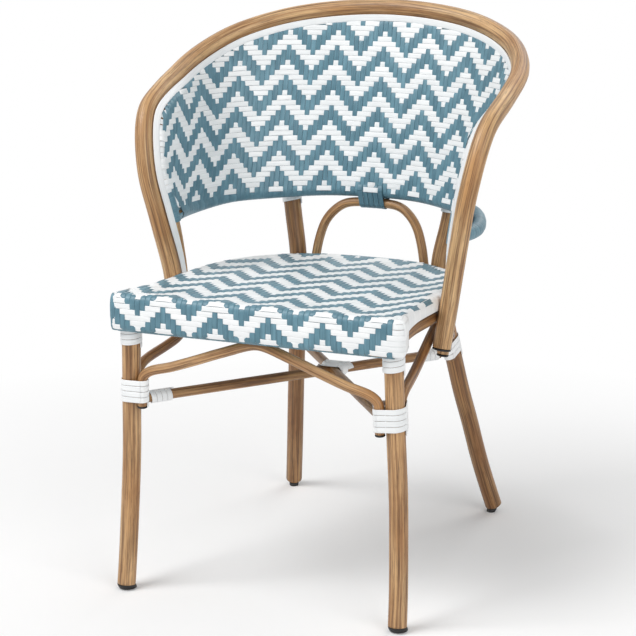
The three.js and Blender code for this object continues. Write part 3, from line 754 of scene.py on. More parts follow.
def rounded_section(points: int, flatness: float) -> Array:
    """A unit rounded section.

    Args:
        points: corners in it.
        flatness: 1 for a round, and less for flatter faces.

    Returns:
        Two shares of the half width and half thickness a row, anticlockwise.
    """
    angles = (np.arange(points) + 0.5) * FULL_TURN / points
    across = np.sign(np.cos(angles)) * np.abs(np.cos(angles)) ** flatness
    out = np.sign(np.sin(angles)) * np.abs(np.sin(angles)) ** flatness
    return np.stack([across, out], axis=1)


class SweepPile:
    """Gathers swept strands, canes and turned forms into one mesh."""

    def __init__(self, name: str) -> None:
        """Starts the empty pile of a piece."""
        self.name = name
        self.points: list[Array] = []
        self.grain: list[Array] = []
        self.tone: list[Array] = []
        self.joint: list[Array] = []
        self.faces: list[tuple[int, ...]] = []
        self.count = 0

    def sweep(
        self,
        middles: Array,
        across: Array,
        out: Array,
        section: Array,
        halves: Array,
        tone: float,
        joint: Optional[Array] = None,
    ) -> None:
        """Adds a swept form with closed ends.

        Args:
            middles: the line, one point a row.
            across: the section's first direction at each point.
            out: the section's second direction at each point.
            section: the unit section.
            halves: half sizes along the two directions, one row for each point.
            tone: a number from 0 to 1 that sets this strand's shade apart.
            joint: how far each point is in a cane's joint, 0 to 1.
        """
        ahead = np.gradient(middles, axis=0)
        if dot(np.cross(across, out), ahead)[len(middles) // 2][0] < 0:
            across = -across
        rows, sides = len(middles), len(section)
        first = halves[:, None, 0, None] * section[None, :, 0, None]
        second = halves[:, None, 1, None] * section[None, :, 1, None]
        rings = middles[:, None] + across[:, None] * first + out[:, None] * second
        grain = np.empty((rows, sides, 3))
        grain[:, :, 0] = first[:, :, 0]
        grain[:, :, 1] = second[:, :, 0]
        grain[:, :, 2] = arc_lengths(middles)[:, None]
        self.points.append(rings.reshape(-1, 3))
        self.grain.append(grain.reshape(-1, 3))
        self.tone.append(np.full(rows * sides, tone))
        self.joint.append(np.repeat(np.zeros(rows) if joint is None else joint, sides))
        self._add_faces(rows, sides)

    def _add_faces(self, rows: int, sides: int) -> None:
        """Adds the faces between rings and over their two ends."""
        side = np.arange(sides)
        following = (side + 1) % sides
        for row in range(rows - 1):
            low = self.count + row * sides
            high = low + sides
            quads = np.stack([low + side, low + following, high + following, high + side], axis=1)
            self.faces.extend(map(tuple, quads.tolist()))
        last = self.count + (rows - 1) * sides
        self.faces.append(tuple(range(self.count + sides - 1, self.count - 1, -1)))
        self.faces.append(tuple(range(last, last + sides)))
        self.count += rows * sides

    def finish(self, material: bpy.types.Material, node: str) -> None:
        """Builds the piece, and lets it stand for a node of the frame.

        Args:
            material: its finish.
            node: the node that it replaces.
        """
        mesh = bpy.data.meshes.new(self.name)
        mesh.from_pydata(np.concatenate(self.points).tolist(), [], self.faces)
        mesh.polygons.foreach_set("use_smooth", [len(face) == 4 for face in self.faces])
        for name, kind, key, values in (
            ("grain", "FLOAT_VECTOR", "vector", self.grain),
            ("tone", "FLOAT", "value", self.tone),
            ("joint", "FLOAT", "value", self.joint),
        ):
            layer = mesh.attributes.new(name, kind, "POINT")
            layer.data.foreach_set(key, np.concatenate(values).ravel())
        mesh.materials.append(material)
        mesh.update()
        piece = bpy.data.objects.new(self.name, mesh)
        bpy.context.scene.collection.objects.link(piece)
        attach(piece, "root")
        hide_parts(node)
        LOG.info("%s: %d faces", self.name, len(self.faces))


# Canes


@dataclass(frozen=True)
class CaneBuilder:
    """Dresses a cane's centre line as a smooth round cane with joints and softened ends."""

    sides: int = 20
    spacing: float = 0.005
    end_softness: float = 0.0009
    joint_spacing: float = 0.235
    first_joint: Span = (0.3, 0.9)
    later_joints: Span = (0.8, 1.2)
    joint_reach: float = 0.006
    joint_swell: float = 0.008
    waver: float = 0.006

    def add(self, pile: SweepPile, cane: CaneLine, seed: int, reach: float = 0.0) -> None:
        """Adds a cane to a pile.

        Args:
            pile: where it goes.
            cane: its line and radii.
            seed: sets its joints and waver apart from the others.
            reach: extra length at both ends, straight on.
        """
        dice = np.random.default_rng(seed)
        steps = cane.line.even(self.spacing)
        middles = cane.line.at(steps)
        radii = np.interp(steps, np.arange(len(cane.radii)), cane.radii)
        if reach > 0:
            first, last = cane.line.along(np.array([0.0, float(cane.line.last)])) * reach
            middles = np.concatenate([[middles[0] - first], middles, [middles[-1] + last]])
            radii = np.concatenate([radii[:1], radii, radii[-1:]])
        first, last = unit(np.gradient(middles, axis=0))[[0, -1]] * self.end_softness
        ends = [middles[0], middles[0] + first], [middles[-1] - last, middles[-1]]
        softened = np.concatenate([ends[0], middles[1:-1], ends[1]])
        radii = np.concatenate([radii[:1], radii, radii[-1:]])
        travelled = arc_lengths(softened)
        joint = self._joints(travelled, dice)
        wave = np.sin(travelled / self.joint_spacing * FULL_TURN + dice.uniform(0, FULL_TURN))
        radii = radii * (1 + joint * self.joint_swell - self.waver * (1 + wave) / 2)
        radii[[0, -1]] -= self.end_softness
        across, out = carried_frames(softened)
        halves = np.stack([radii, radii], axis=1)
        section = rounded_section(self.sides, 1.0)
        pile.sweep(softened, across, out, section, halves, dice.uniform(), joint)

    def _joints(self, travelled: Array, dice: np.random.Generator) -> Array:
        """How far each place along a cane is in one of its joints, 0 to 1."""
        joint = np.zeros(len(travelled))
        place = dice.uniform(*self.first_joint) * self.joint_spacing
        while place < travelled[-1]:
            joint += np.exp(-(((travelled - place) / self.joint_reach) ** 2))
            place += dice.uniform(*self.later_joints) * self.joint_spacing
        return np.minimum(joint, 1.0)


@dataclass
class CaneFrame:
    """All the chair's canes: the two hoops, arch, bows, legs, stretchers and seat rings."""

    finishes: Finishes
    builder: CaneBuilder = CaneBuilder()
    ring_reach: float = 0.012
    end_share: float = 0.02
    straight_knots: int = 4

    def build(self) -> None:
        """Builds every cane as a piece of its own."""
        lines = {"outer_hoop": CaneLine.mirrored("outer_hoop", SIDES.hoop)}
        for name in ("inner_hoop", "arch", "front_bow"):
            lines[name] = CaneLine.mirrored(name, SIDES.cane)
        for side in Side:
            for kind, sides in (
                ("back_leg", SIDES.leg), ("front_leg", SIDES.leg), ("side_bow", SIDES.cane)
            ):
                name = f"{kind}_{side.value}"
                lines[name] = CaneLine.of(READER.rings(name, sides))
        for name in (
            "stretcher_front_left_to_back_right",
            "stretcher_front_right_to_back_left",
            "seat_front_rail",
            "seat_front_lower_rail",
        ):
            lines[name] = self._straight(name)
        rings = ("seat_ring", "seat_lower_ring")
        for name in rings:
            lines[name] = CaneLine.of(READER.rings(name, SIDES.cane))
        lines["lower_back_rail"] = CaneLine.mirrored("lower_back_rail", SIDES.cane)
        for seed, (name, line) in enumerate(lines.items(), 1):
            pile = SweepPile(f"cane_{name}")
            self.builder.add(pile, line, seed, self.ring_reach if name in rings else 0.0)
            # Each cane takes a tint with light or shade painted in: painted light on the hoops,
            # painted shade on the lower canes at the back.
            pile.finish(self.finishes.canes[self.painted_light_of(name)], name)

    def _straight(self, name: str) -> CaneLine:
        """The line of a straight cane, from the spread of its vertices.

        Args:
            name: the node.

        Returns:
            Its line, with knots spread evenly over it.
        """
        points = READER.points(name)
        middle = (points.min(axis=0) + points.max(axis=0)) / 2
        _, _, turned = np.linalg.svd(points - points.mean(axis=0), full_matrices=False)
        along = (points - middle) @ turned[0]
        end = np.ptp(along) * self.end_share
        low = points[along < along.min() + end].mean(axis=0)
        high = points[along > along.max() - end].mean(axis=0)
        ahead = unit(high - low)
        across = squared_to(UP, ahead)
        sections = np.stack([across, np.cross(ahead, across)])
        beside = (points - middle) @ sections.T
        centre = middle + (beside.max(axis=0) + beside.min(axis=0)) / 2 @ sections
        radius = np.ptp(beside, axis=0).min() / 2
        along = (points - centre) @ ahead
        places = np.linspace(along.min(), along.max(), self.straight_knots)[:, None]
        line = CentreLine(centre + places * ahead)
        return CaneLine(line, np.full(self.straight_knots, radius))

    def painted_light_of(self, name: str) -> CanePaintedLight:
        """The light or shade painted into a cane's colour: painted light on the hoops, painted
        shade on the back legs, stretchers, side bows and lower seat ring.
        """
        if name.endswith("hoop"):
            return CanePaintedLight.PALE
        if name.startswith(("back_leg", "stretcher", "side_bow", "seat_lower")):
            return CanePaintedLight.DARK
        return CanePaintedLight.MIDDLING


# Moulded ends

# Profiles run from the cane outwards or from the floor up. Each row is a share of the height and
# a share of the radius.
PLUG_PROFILE = (
    (0.0, 0.0), (0.0, 0.97), (0.35, 1.0), (0.7, 0.97), (0.92, 0.84), (1.0, 0.55), (1.0, 0.02)
)
CAP_PROFILE = (
    (0.0, 0.02), (0.0, 0.86), (0.06, 0.94), (0.2, 0.99),
    (0.6, 1.0), (0.88, 0.98), (0.97, 0.94), (1.0, 0.87),
)


@dataclass
class MouldedEnds:
    """The black plugs in the canes' ends and the caps under the feet."""

    finishes: Finishes
    sides: int = 32
    face_points: int = 8
    sole_share: float = 0.1
    ring_shift: float = 1e-6

    def build(self) -> None:
        """Builds the plugs and the foot caps."""
        for side in Side:
            for cane in ("outer_hoop", "inner_hoop", "front_bow"):
                self._plug(f"{cane}_plug_{side.value}", cane)
            for leg in ("back_leg", "front_leg"):
                self._cap(f"foot_cap_{leg}_{side.value}", f"{leg}_{side.value}")

    def _plug(self, name: str, cane: str) -> None:
        """Builds a plug at the end of a cane.

        Args:
            name: the plug's node.
            cane: the cane's node.
        """
        points = READER.points(name)
        middle = points.mean(axis=0)
        cane_points = READER.points(cane)
        nearest = np.argsort(np.linalg.norm(cane_points - middle, axis=1))[:self.face_points]
        face = cane_points[nearest].mean(axis=0)
        _, _, turned = np.linalg.svd(points - middle)
        outwards = turned[2] * np.sign(np.dot(turned[2], middle - face))
        along = (points - middle) @ outwards
        radius = np.linalg.norm(points - middle - along[:, None] * outwards, axis=1).max()
        lathe = np.array(PLUG_PROFILE)
        heights = along.min() + lathe[:, 0] * np.ptp(along)
        across = squared_to(UP if abs(outwards[2]) < NEARLY_UPRIGHT else RIGHT, outwards)
        middles = middle + heights[:, None] * outwards
        self._turned(name, middles, across, np.cross(outwards, across), lathe[:, 1] * radius)

    def _cap(self, name: str, leg: str) -> None:
        """Builds a cap round the foot of a leg, level where it stands.

        Args:
            name: the cap's node.
            leg: the leg's node.
        """
        points = READER.points(name)
        bottom, top = points[:, 2].min(), points[:, 2].max()
        foot = min((ring.mean(axis=0) for ring in READER.rings(leg, SIDES.leg)), key=lambda p: p[2])
        lathe = np.array(CAP_PROFILE)
        level = points[points[:, 2] < bottom + (top - bottom) * self.sole_share]
        sole = (level.min(axis=0) + level.max(axis=0)) / 2
        heights = lathe[:, 0] * (top - bottom)
        middles = sole + (foot - sole) * (heights / (foot[2] - sole[2]))[:, None]
        radius = np.ptp(level[:, :2], axis=0).max() / 2
        self._turned(name, middles, RIGHT, BACK, lathe[:, 1] * radius)

    def _turned(
        self, name: str, middles: Array, across: Array, out: Array, radii: Array
    ) -> None:
        """Builds a turned form in place of a node.

        Args:
            name: the node.
            middles: the middle of each of its rings.
            across: a direction in the rings.
            out: the other direction in the rings.
            radii: the radius of each ring.
        """
        pile = SweepPile(f"moulded_{name}")
        count = len(middles)
        # Rings at one height are set apart a little, so that the line never stands still.
        shifts = np.arange(count)[:, None] * (middles[-1] - middles[0]) * self.ring_shift
        pile.sweep(
            middles + shifts,
            np.tile(across, (count, 1)),
            np.tile(out, (count, 1)),
            rounded_section(self.sides, 1.0),
            np.stack([radii, radii], axis=1),
            0.0,
        )
        pile.finish(self.finishes.by_slot[Slot.CAP], name)


# Windings


@dataclass(frozen=True)
class StrandBuilder:
    """Dresses windings and pipings as smooth flat strands with rounded edges."""

    sides: int = 12
    flatness: float = 0.5
    finer: int = 3

    def add(self, pile: SweepPile, rings: list, seed: int) -> None:
        """Adds a strand along four-cornered rings.

        Args:
            pile: where it goes.
            rings: the rings in order.
            seed: sets its shade apart from the others.
        """
        middles, widths, thicknesses, halves = [], [], [], []
        for ring in rings:
            middle = ring.mean(axis=0)
            _, sizes, turned = np.linalg.svd(ring - middle)
            wide, thick = turned[0], turned[1]
            if widths:
                wide = wide * np.sign(np.dot(wide, widths[-1]))
                thick = thick * np.sign(np.dot(thick, thicknesses[-1]))
            middles.append(middle)
            widths.append(wide)
            thicknesses.append(thick)
            halves.append(sizes[:2] / 2)
        line = CentreLine(np.array(middles))
        steps = np.linspace(0, line.last, line.last * self.finer + 1)
        knots = np.arange(len(rings))
        smooth = [np.interp(steps, knots, sizes) for sizes in np.array(halves).T]
        ahead = line.along(steps)
        across = squared_to(CentreLine(np.array(widths)).at(steps), ahead)
        out = np.cross(ahead, across)
        section = rounded_section(self.sides, self.flatness)
        tone = np.random.default_rng(seed).uniform()
        pile.sweep(line.at(steps), across, out, section, np.stack(smooth, axis=1), tone)


@dataclass
class Windings:
    """The strands wound round joints, and the pipings beside the hoop."""

    finishes: Finishes
    builder: StrandBuilder = StrandBuilder()
    fewest_in_turn: int = 8
    piping_fullness: float = 1.2
    piping_rise: float = 0.0007
    one_more_below: tuple[str, ...] = ("back_leg_collar",)
    one_more_above: tuple[str, ...] = ("front_leg_collar", "front_leg_binding")
    arch_seed: int = 13

    def build(self) -> None:
        """Builds every winding as a piece of its own."""
        front, rear = (
            READER.rings(f"hoop_piping_{face}", SIDES.strand) for face in ("front", "rear")
        )
        white = {
            "hoop_piping_front": self._fuller(front, rear),
            "hoop_piping_rear": self._fuller(rear, front),
            "stretcher_centre_binding": self._wound("stretcher_centre_binding"),
        }
        for side in Side:
            for leg in ("front", "back"):
                for kind in (f"{leg}_leg_binding", f"{leg}_leg_collar", f"stretcher_binding_{leg}"):
                    name = f"{kind}_{side.value}"
                    white[name] = self._wound(name)
        for seed, (name, rings) in enumerate(white.items()):
            self._piece(name, Slot.WHITE, seed, rings)
        arch_rings = READER.rings("arch_binding", SIDES.strand)
        self._piece("arch_binding", Slot.BLUE, self.arch_seed, arch_rings)

    def _piece(self, name: str, slot: Slot, seed: int, rings: list) -> None:
        """Builds one winding in place of its node.

        Args:
            name: the node.
            slot: white or blue strand.
            seed: sets its shade apart from the others.
            rings: its rings in order.
        """
        pile = SweepPile(f"wound_{name}")
        self.builder.add(pile, rings, seed)
        pile.finish(self.finishes.by_slot[slot], name)

    def _wound(self, name: str) -> list:
        """The rings of a winding from the top down, with the turns that it gains."""
        rings = READER.rings(name, SIDES.strand)
        kind = name.rsplit("_", 1)[0]
        if kind in self.one_more_above:
            rings = self._longer(rings)
        rings = rings[::-1]
        return self._longer(rings) if kind in self.one_more_below else rings

    def _fuller(self, rings: list, others: list) -> list:
        """A piping a little wider and a little further out of the valley between the hoops.

        Args:
            rings: its rings in order.
            others: the rings of the piping on the hoops' other side.

        Returns:
            The fuller rings.
        """
        fuller = []
        for ring, other in zip(rings, others):
            middle = ring.mean(axis=0)
            out = unit(middle - other.mean(axis=0))
            beside = ring - middle
            thick = out * dot(beside, out)
            wide = (beside - thick) * self.piping_fullness
            fuller.append(middle + out * self.piping_rise + wide + thick)
        return fuller

    def _longer(self, rings: list) -> list:
        """A winding that goes on for one turn past its last ring as it went before."""
        middles = np.array([ring.mean(axis=0) for ring in rings])
        in_turn = min(
            range(self.fewest_in_turn, len(rings) // 2 + 1),
            key=lambda n: np.linalg.norm(middles[n:] - middles[:-n], axis=1).mean(),
        )
        rise = (middles[in_turn:] - middles[:-in_turn]).mean(axis=0)
        return rings + [ring + rise for ring in rings[-in_turn:]]


# Weaves

# A place on a weave: a point of its outer surface, and the outward direction there.
Place = tuple[Array, Array]


def mirrored(places: Sequence[Place]) -> list[Place]:
    """The places on the chair's other side, in the opposite order."""
    return [(point * MIRROR, normal * MIRROR) for point, normal in reversed(places)]


def levelled(first: bool, second: bool) -> float:
    """The lift between two crossings, from -1 to 1, by whether each is on top."""
    return float(first) + float(second) - 1.0


class Strand:
    """The way of one woven strand: its places, with a lift and a width at each."""

    def __init__(self) -> None:
        """Starts an empty strand."""
        self.places: list[Place] = []
        self.lifts: list[float] = []
        self.widths: list[float] = []

    def follow(
        self, places: Sequence[Place], lifts: Union[float, Sequence[float]], width: float
    ) -> None:
        """Goes on through places.

        Args:
            places: the places in order.
            lifts: from -1 where the strand is under to 1 where it is on top.
            width: the strand's width.
        """
        self.places.extend(places)
        self.lifts.extend(np.broadcast_to(lifts, len(places)))
        self.widths.extend([width] * len(places))


@dataclass(frozen=True)
class TwillStrands:
    """Sizes that the woven strands of the back and the seat share."""

    blue_width: float
    white_width: float
    thickness: float = 0.0011
    lift: float = 0.0007
    mid_depth: float = 0.0012
    sides: int = 10
    flatness: float = 0.45

    def add(self, pile: SweepPile, strand: Strand, tone: float) -> None:
        """Adds one strand that rides over and under.

        Args:
            pile: where it goes.
            strand: its way.
            tone: sets its shade apart.
        """
        points, normals = (np.array(rows) for rows in zip(*strand.places))
        depth = self.mid_depth - np.array(strand.lifts) * self.lift
        middles = points - normals * depth[:, None]
        ahead = unit(np.gradient(middles, axis=0))
        across = unit(np.cross(normals, ahead))
        out = np.cross(ahead, across)
        halves = np.full((len(points), 2), self.thickness / 2)
        halves[:, 0] = np.array(strand.widths) / 2
        section = rounded_section(self.sides, self.flatness)
        pile.sweep(middles, across, out, section, halves, tone)


@dataclass
class Weave(ABC):
    """What the two woven panels share: their finishes and the zigzag twill."""

    finishes: Finishes
    node = ""
    columns_in_repeat = 10
    rows_in_repeat = 6
    rows_on_top = 3
    level_columns = 0.25

    def build(self) -> None:
        """Builds the blue columns and the white rows."""
        self._prepare()
        for kind, slot, lay in (
            ("columns", Slot.BLUE, self._columns), ("rows", Slot.WHITE, self._rows)
        ):
            pile = SweepPile(f"{self.node}_{kind}")
            lay(pile)
            pile.finish(self.finishes.by_slot[slot], self.node)

    @abstractmethod
    def _prepare(self) -> None:
        """Works out what the strands are laid on."""

    @abstractmethod
    def _columns(self, pile: SweepPile) -> None:
        """Lays the blue columns on a pile."""

    @abstractmethod
    def _rows(self, pile: SweepPile) -> None:
        """Lays the white rows on a pile."""

    @abstractmethod
    def _step(self, column: int, row: int) -> int:
        """A crossing's step in the twill's repeat of rows."""

    def blue_on_top(self, column: int, row: int) -> bool:
        """Whether the blue column lies over the white row at a crossing."""
        return self._step(column, row) % self.rows_in_repeat < self.rows_on_top

    def row_lift(self, row: int, columns: float) -> float:
        """How far a white row lies over.

        Args:
            row: the row.
            columns: a place along it, a whole number at the middle of a column.

        Returns:
            From -1 to 1.
        """
        near = math.floor(columns + self.level_columns), math.ceil(columns - self.level_columns)
        return -levelled(*(self.blue_on_top(column, row) for column in near))


@dataclass
class Cut:
    """A level cut of the back's right half, from the middle outwards."""

    lengths: Array
    points: Array
    normals: Array
    grid_places: Array

    @property
    def reach(self) -> float:
        """The level length from the middle to where the cut ends, or 0 for no cut at all."""
        return float(self.lengths[-1]) if len(self.lengths) else 0.0

    def at(self, away: float) -> Optional[tuple[Place, Array]]:
        """A place on the cut.

        Args:
            away: the level length from the middle, and less than 0 to the left.

        Returns:
            The place, with the grid's station and sample there. None where the panel has ended.
        """
        if not len(self.lengths) or abs(away) > self.reach:
            return None
        point, normal, grid_place = (
            np.array([np.interp(abs(away), self.lengths, axis) for axis in rows.T])
            for rows in (self.points, self.normals, self.grid_places)
        )
        side = MIRROR if away < 0 else UNMIRRORED
        return (point * side, unit(normal * side)), grid_place


@dataclass
class WovenBack(Weave):
    """The two-tone twill panel of the back, from the low rail up to the second hoop.

    A grid of stations from the middle outwards, and samples from behind the rail up to the
    piping, holds the surface of its right half. Level cuts through that half hold the crossings.
    """

    node = "woven_back"
    row_pitch: float = 0.00795
    column_pitch: float = 0.0079
    first_row: float = 0.5544
    rows: int = 35
    cuts_in_row: int = 4
    fewest_cuts: int = 6
    fewest_in_cut: int = 3
    phase: int = 4
    lip_radius: float = 0.01195
    turn_above_arms: float = math.radians(35)
    turn_at_top: float = math.radians(-10)
    top_turn_shares: Span = (0.19, 0.33)
    rail_turn: float = math.radians(330)
    past_pair: float = math.radians(53)
    steep_hoop: float = 0.6
    grazing_samples: int = 5
    joint_turns: tuple[float, ...] = (-0.006, 0.002, 0.010, 0.018, 0.026, 0.034)
    joint_lift: float = 0.5
    joint_start: float = math.radians(-190)
    end_turns: int = 2
    stations: int = 433
    ruled_samples: int = 60
    lip_samples: int = 14
    lip_stride: int = 2
    wrap_fullness: float = 1.1
    binding_rise: float = 0.0029
    binding_columns: Span = (1.6, 0.6)
    strands: TwillStrands = TwillStrands(blue_width=0.0078, white_width=0.0082)

    def _step(self, column: int, row: int) -> int:
        """A crossing's step in the twill's repeat of rows."""
        step = column % self.columns_in_repeat
        return self.phase - row - min(step, self.columns_in_repeat - step)

    def _prepare(self) -> None:
        """Lays the grid over the right half of the panel, and cuts it level."""
        self.outer = CaneLine.mirrored("outer_hoop", SIDES.hoop).line
        self.inner = CaneLine.mirrored("inner_hoop", SIDES.cane).line
        rail = CaneLine.mirrored("lower_back_rail", SIDES.cane).line
        reach = rail.last / 2
        steps = np.linspace(0, reach, self.stations)
        s, towards, inwards, turns = self._hoop_at(steps)
        r = rail.at(steps + reach)
        rail_along = -rail.along(steps + reach)
        up = squared_to(s - r, rail_along)
        rail_in = np.cross(up, rail_along)
        low = r + rail_in * self.lip_radius
        high = s + inwards * self.lip_radius
        points, normals = [], []
        for angle in np.linspace(self.rail_turn, 0, self.lip_samples * 2 + 1)[:-1]:
            out = rail_in * math.cos(angle) - up * math.sin(angle)
            points.append(r + out * self.lip_radius)
            normals.append(out)
        for share in np.linspace(0, 1, self.ruled_samples + 1):
            points.append(low * (1 - share) + high * share)
            normals.append(unit(rail_in * (1 - share) + inwards * share))
        for share in np.linspace(0, 1, self.lip_samples + 1)[1:]:
            angle = (turns + self.past_pair) * share
            out = inwards * np.cos(angle) - towards * np.sin(angle)
            points.append(s + out * self.lip_radius)
            normals.append(out)
        self.points = np.stack(points, axis=1)
        self.normals = np.stack(normals, axis=1)
        self.reach = reach
        self.first_sample = int(np.argmin(self.points[0, :, 2])) + 1
        self.edge = self.points.shape[1] - 1 - self.lip_samples
        ahead = unit(np.gradient(self.points[:, self.edge], axis=0))
        self.steep = np.abs(ahead[:, 2]) > self.steep_hoop
        step = self.row_pitch / self.cuts_in_row
        count = int((self.points[:, :, 2].max() - self.first_row) / step) + 1
        self.cuts = [self._cut(height) for height in self.first_row + step * np.arange(count)]

    def _hoop_at(self, steps: Array) -> tuple[Array, Array, Array, Array]:
        """The second hoop and the directions about it.

        Args:
            steps: steps outwards from the middle.

        Returns:
            Its middles, the directions towards the weave and towards the sitter, and how far
            the pair of hoops is turned.
        """
        p = self.outer.at(steps + self.outer.last / 2)
        s = self.inner.at(steps + self.inner.last / 2)
        along = -self.outer.along(steps + self.outer.last / 2)
        over = squared_to(s - p, along)
        low, high = self.top_turn_shares
        share = np.clip((0.5 - steps / self.outer.last - low) / (high - low), 0, 1)
        at_top = eased(share)[:, None]
        turns = self.turn_above_arms * (1 - at_top) + self.turn_at_top * at_top
        towards = over * np.cos(turns) - np.cross(along, over) * np.sin(turns)
        return s, towards, np.cross(along, towards), turns

    def _joint_turn(self, below: float) -> tuple[Array, Array]:
        """A blue turn round the second hoop near where the rail meets it.

        Args:
            below: how far down the hoop it lies from there.

        Returns:
            Its points and outward directions, from behind to the piping.
        """
        pair = np.array([self.reach, self.reach + 1.0])
        stride = np.linalg.norm(np.diff(self.inner.at(pair + self.inner.last / 2), axis=0))
        s, towards, inwards, _ = self._hoop_at(np.array([self.reach + below / stride]))
        last = self.turn_above_arms + self.past_pair
        angles = np.linspace(self.joint_start, last, self.lip_samples * 2)[:, None]
        out = inwards * np.cos(angles) - towards * np.sin(angles)
        return s + out * self.lip_radius, out

    def _cut(self, height: float) -> Cut:
        """Cuts the right half of the panel at one height."""
        points, normals, grid_places = [], [], []
        samples = np.arange(self.first_sample, self.points.shape[1])
        for station in range(self.stations):
            heights = np.maximum.accumulate(self.points[station, self.first_sample:, 2])
            if not heights[0] <= height <= heights[-1]:
                if points:
                    break
                continue
            sample = np.interp(height, heights, samples)
            low = min(int(sample), self.points.shape[1] - 2)
            shares = np.array([low + 1 - sample, sample - low])
            points.append(shares @ self.points[station, low:low + 2])
            normals.append(shares @ self.normals[station, low:low + 2])
            grid_places.append((station, sample))
        if len(points) < self.fewest_in_cut:
            return Cut(np.zeros(0), np.zeros((0, 3)), np.zeros((0, 3)), np.zeros((0, 2)))
        lengths = arc_lengths(np.array(points) * (RIGHT + BACK))
        return Cut(lengths, np.array(points), unit(np.array(normals)), np.array(grid_places))

    def _on_panel(self, grid_place: Array) -> bool:
        """Whether a column still lies over the panel, and not askew on a steep hoop."""
        station, sample = grid_place
        return not self.steep[int(station)] or sample <= self.edge + self.grazing_samples

    def _columns(self, pile: SweepPile) -> None:
        """Lays the blue columns on a pile, from under the rail up to the hoop."""
        dice = np.random.default_rng(11)
        most = int(max(cut.reach for cut in self.cuts) / self.column_pitch)
        outermost = 0.0
        for column in range(-most, most + 1):
            away = column * self.column_pitch
            found = [cut.at(away) for cut in self.cuts]
            held = [k for k, p in enumerate(found) if p is not None and self._on_panel(p[1])]
            if len(held) < self.fewest_cuts:
                continue
            # Places half a row apart, and the two ends, with none too near an end.
            first, last = held[0], held[-1]
            wanted = [k for k in held if k % 2 == 0 and first + 1 < k < last - 1]
            wanted = [first, *wanted, last]
            strand = Strand()
            if first == 0:
                grid_place = found[0][1]
                outermost = max(outermost, grid_place[0])
                wrap = self.column_pitch * self.wrap_fullness
                strand.follow(self._rail_lip(grid_place, away), 0.0, wrap)
            lifts = [self._column_lift(column, k / self.cuts_in_row) for k in wanted]
            strand.follow([found[k][0] for k in wanted], lifts, self.strands.blue_width)
            self.strands.add(pile, strand, dice.uniform())
        self._corner_turns(pile, int(outermost), dice)

    def _corner_turns(
        self, pile: SweepPile, outermost: int, dice: np.random.Generator
    ) -> None:
        """Lays the blue turns round the rail's two ends and round the hoop beside them.

        Args:
            pile: where they go.
            outermost: the grid's station of the last column.
            dice: sets their shades apart.
        """
        front = self.lip_samples * 2
        rail_front = self.points[outermost:, front]
        travelled = arc_lengths(rail_front)
        turns = []
        for length in np.arange(self.column_pitch, travelled[-1], self.column_pitch):
            station = outermost + int(np.searchsorted(travelled, length))
            whole = slice(None, None, self.lip_stride)
            turns.append((self.points[station, whole], self.normals[station, whole], 0.0))
        ring = slice(0, front + 1, self.lip_stride)
        ahead = unit(rail_front[-1] - self.points[-self.lip_samples, front])
        for turn in range(1, self.end_turns + 1):
            points = self.points[-1, ring] + ahead * self.column_pitch * turn
            turns.append((points, self.normals[-1, ring], 0.0))
        for below in self.joint_turns:
            turns.append((*self._joint_turn(below), self.joint_lift))
        for points, normals, lift in turns:
            for side in (UNMIRRORED, MIRROR):
                strand = Strand()
                places = list(zip(points * side, normals * side))
                strand.follow(places, lift, self.column_pitch * self.wrap_fullness)
                self.strands.add(pile, strand, dice.uniform())

    def _rail_lip(self, grid_place: Array, away: float) -> list[Place]:
        """The stretch of a column that wraps round the rail.

        Args:
            grid_place: the grid's station and sample where the stretch ends.
            away: the column's length from the middle.

        Returns:
            Its places, from behind the rail up to its front.
        """
        side = MIRROR if away < 0 else UNMIRRORED
        station = min(int(grid_place[0]), self.stations - 2)
        share = grid_place[0] - station
        shares = np.array([1 - share, share])
        places = []
        for sample in range(0, int(grid_place[1]), self.lip_stride):
            point = shares @ self.points[station:station + 2, sample]
            normal = shares @ self.normals[station:station + 2, sample]
            places.append((point * side, unit(normal * side)))
        return places

    def _column_lift(self, column: int, height: float) -> float:
        """How far a blue column lies over.

        Args:
            column: the column.
            height: a height counted in rows, a whole number at a row's foot.

        Returns:
            From -1 to 1.
        """
        row = math.floor(height)
        share = height - row
        here = self.blue_on_top(column, row)
        if share == 0.5:
            return levelled(here, here)
        other = row - 1 if share < 0.5 else row + 1
        return levelled(here, other < 0 or self.blue_on_top(column, other))

    def _rows(self, pile: SweepPile) -> None:
        """Lays the white rows on a pile, from one side of the hoop to the other."""
        dice = np.random.default_rng(12)
        middles = self.cuts[self.cuts_in_row // 2::self.cuts_in_row]
        for row, cut in enumerate(middles[:self.rows]):
            if not len(cut.lengths):
                continue
            reach, end = self._row_end(cut)
            if reach < self.column_pitch:
                continue
            most = int(reach / self.column_pitch * 2)
            halves = [half * self.column_pitch / 2 for half in range(-most, most + 1)]
            aways = [-reach] + halves[1:-1] + [reach]
            lifts = [self._proud_lift(row, away / self.column_pitch) for away in aways]
            lip = self._hoop_lip(end)
            wrap = self.row_pitch * self.wrap_fullness
            strand = Strand()
            strand.follow(mirrored(lip), lifts[0], wrap)
            strand.follow([cut.at(away)[0] for away in aways], lifts, self.strands.white_width)
            strand.follow(lip, lifts[-1], wrap)
            self.strands.add(pile, strand, dice.uniform())

    def _row_end(self, cut: Cut) -> tuple[float, Array]:
        """The length from the middle at which a row leaves the panel, and its grid place."""
        stations = cut.grid_places[:, 0].astype(int)
        spare = np.where(self.steep[stations], 0, self.grazing_samples)
        inside = np.flatnonzero(cut.grid_places[:, 1] <= self.edge + spare)
        if not len(inside):
            return 0.0, cut.grid_places[0]
        return cut.lengths[inside[-1]], cut.grid_places[inside[-1]]

    def _proud_lift(self, row: int, columns: float) -> float:
        """The lift of a row at a place counted in columns, more over the arch's binding."""
        lift = self.row_lift(row, columns)
        if row < len(self.binding_columns) and abs(columns) < self.binding_columns[row]:
            lift += self.binding_rise / self.strands.lift
        return lift

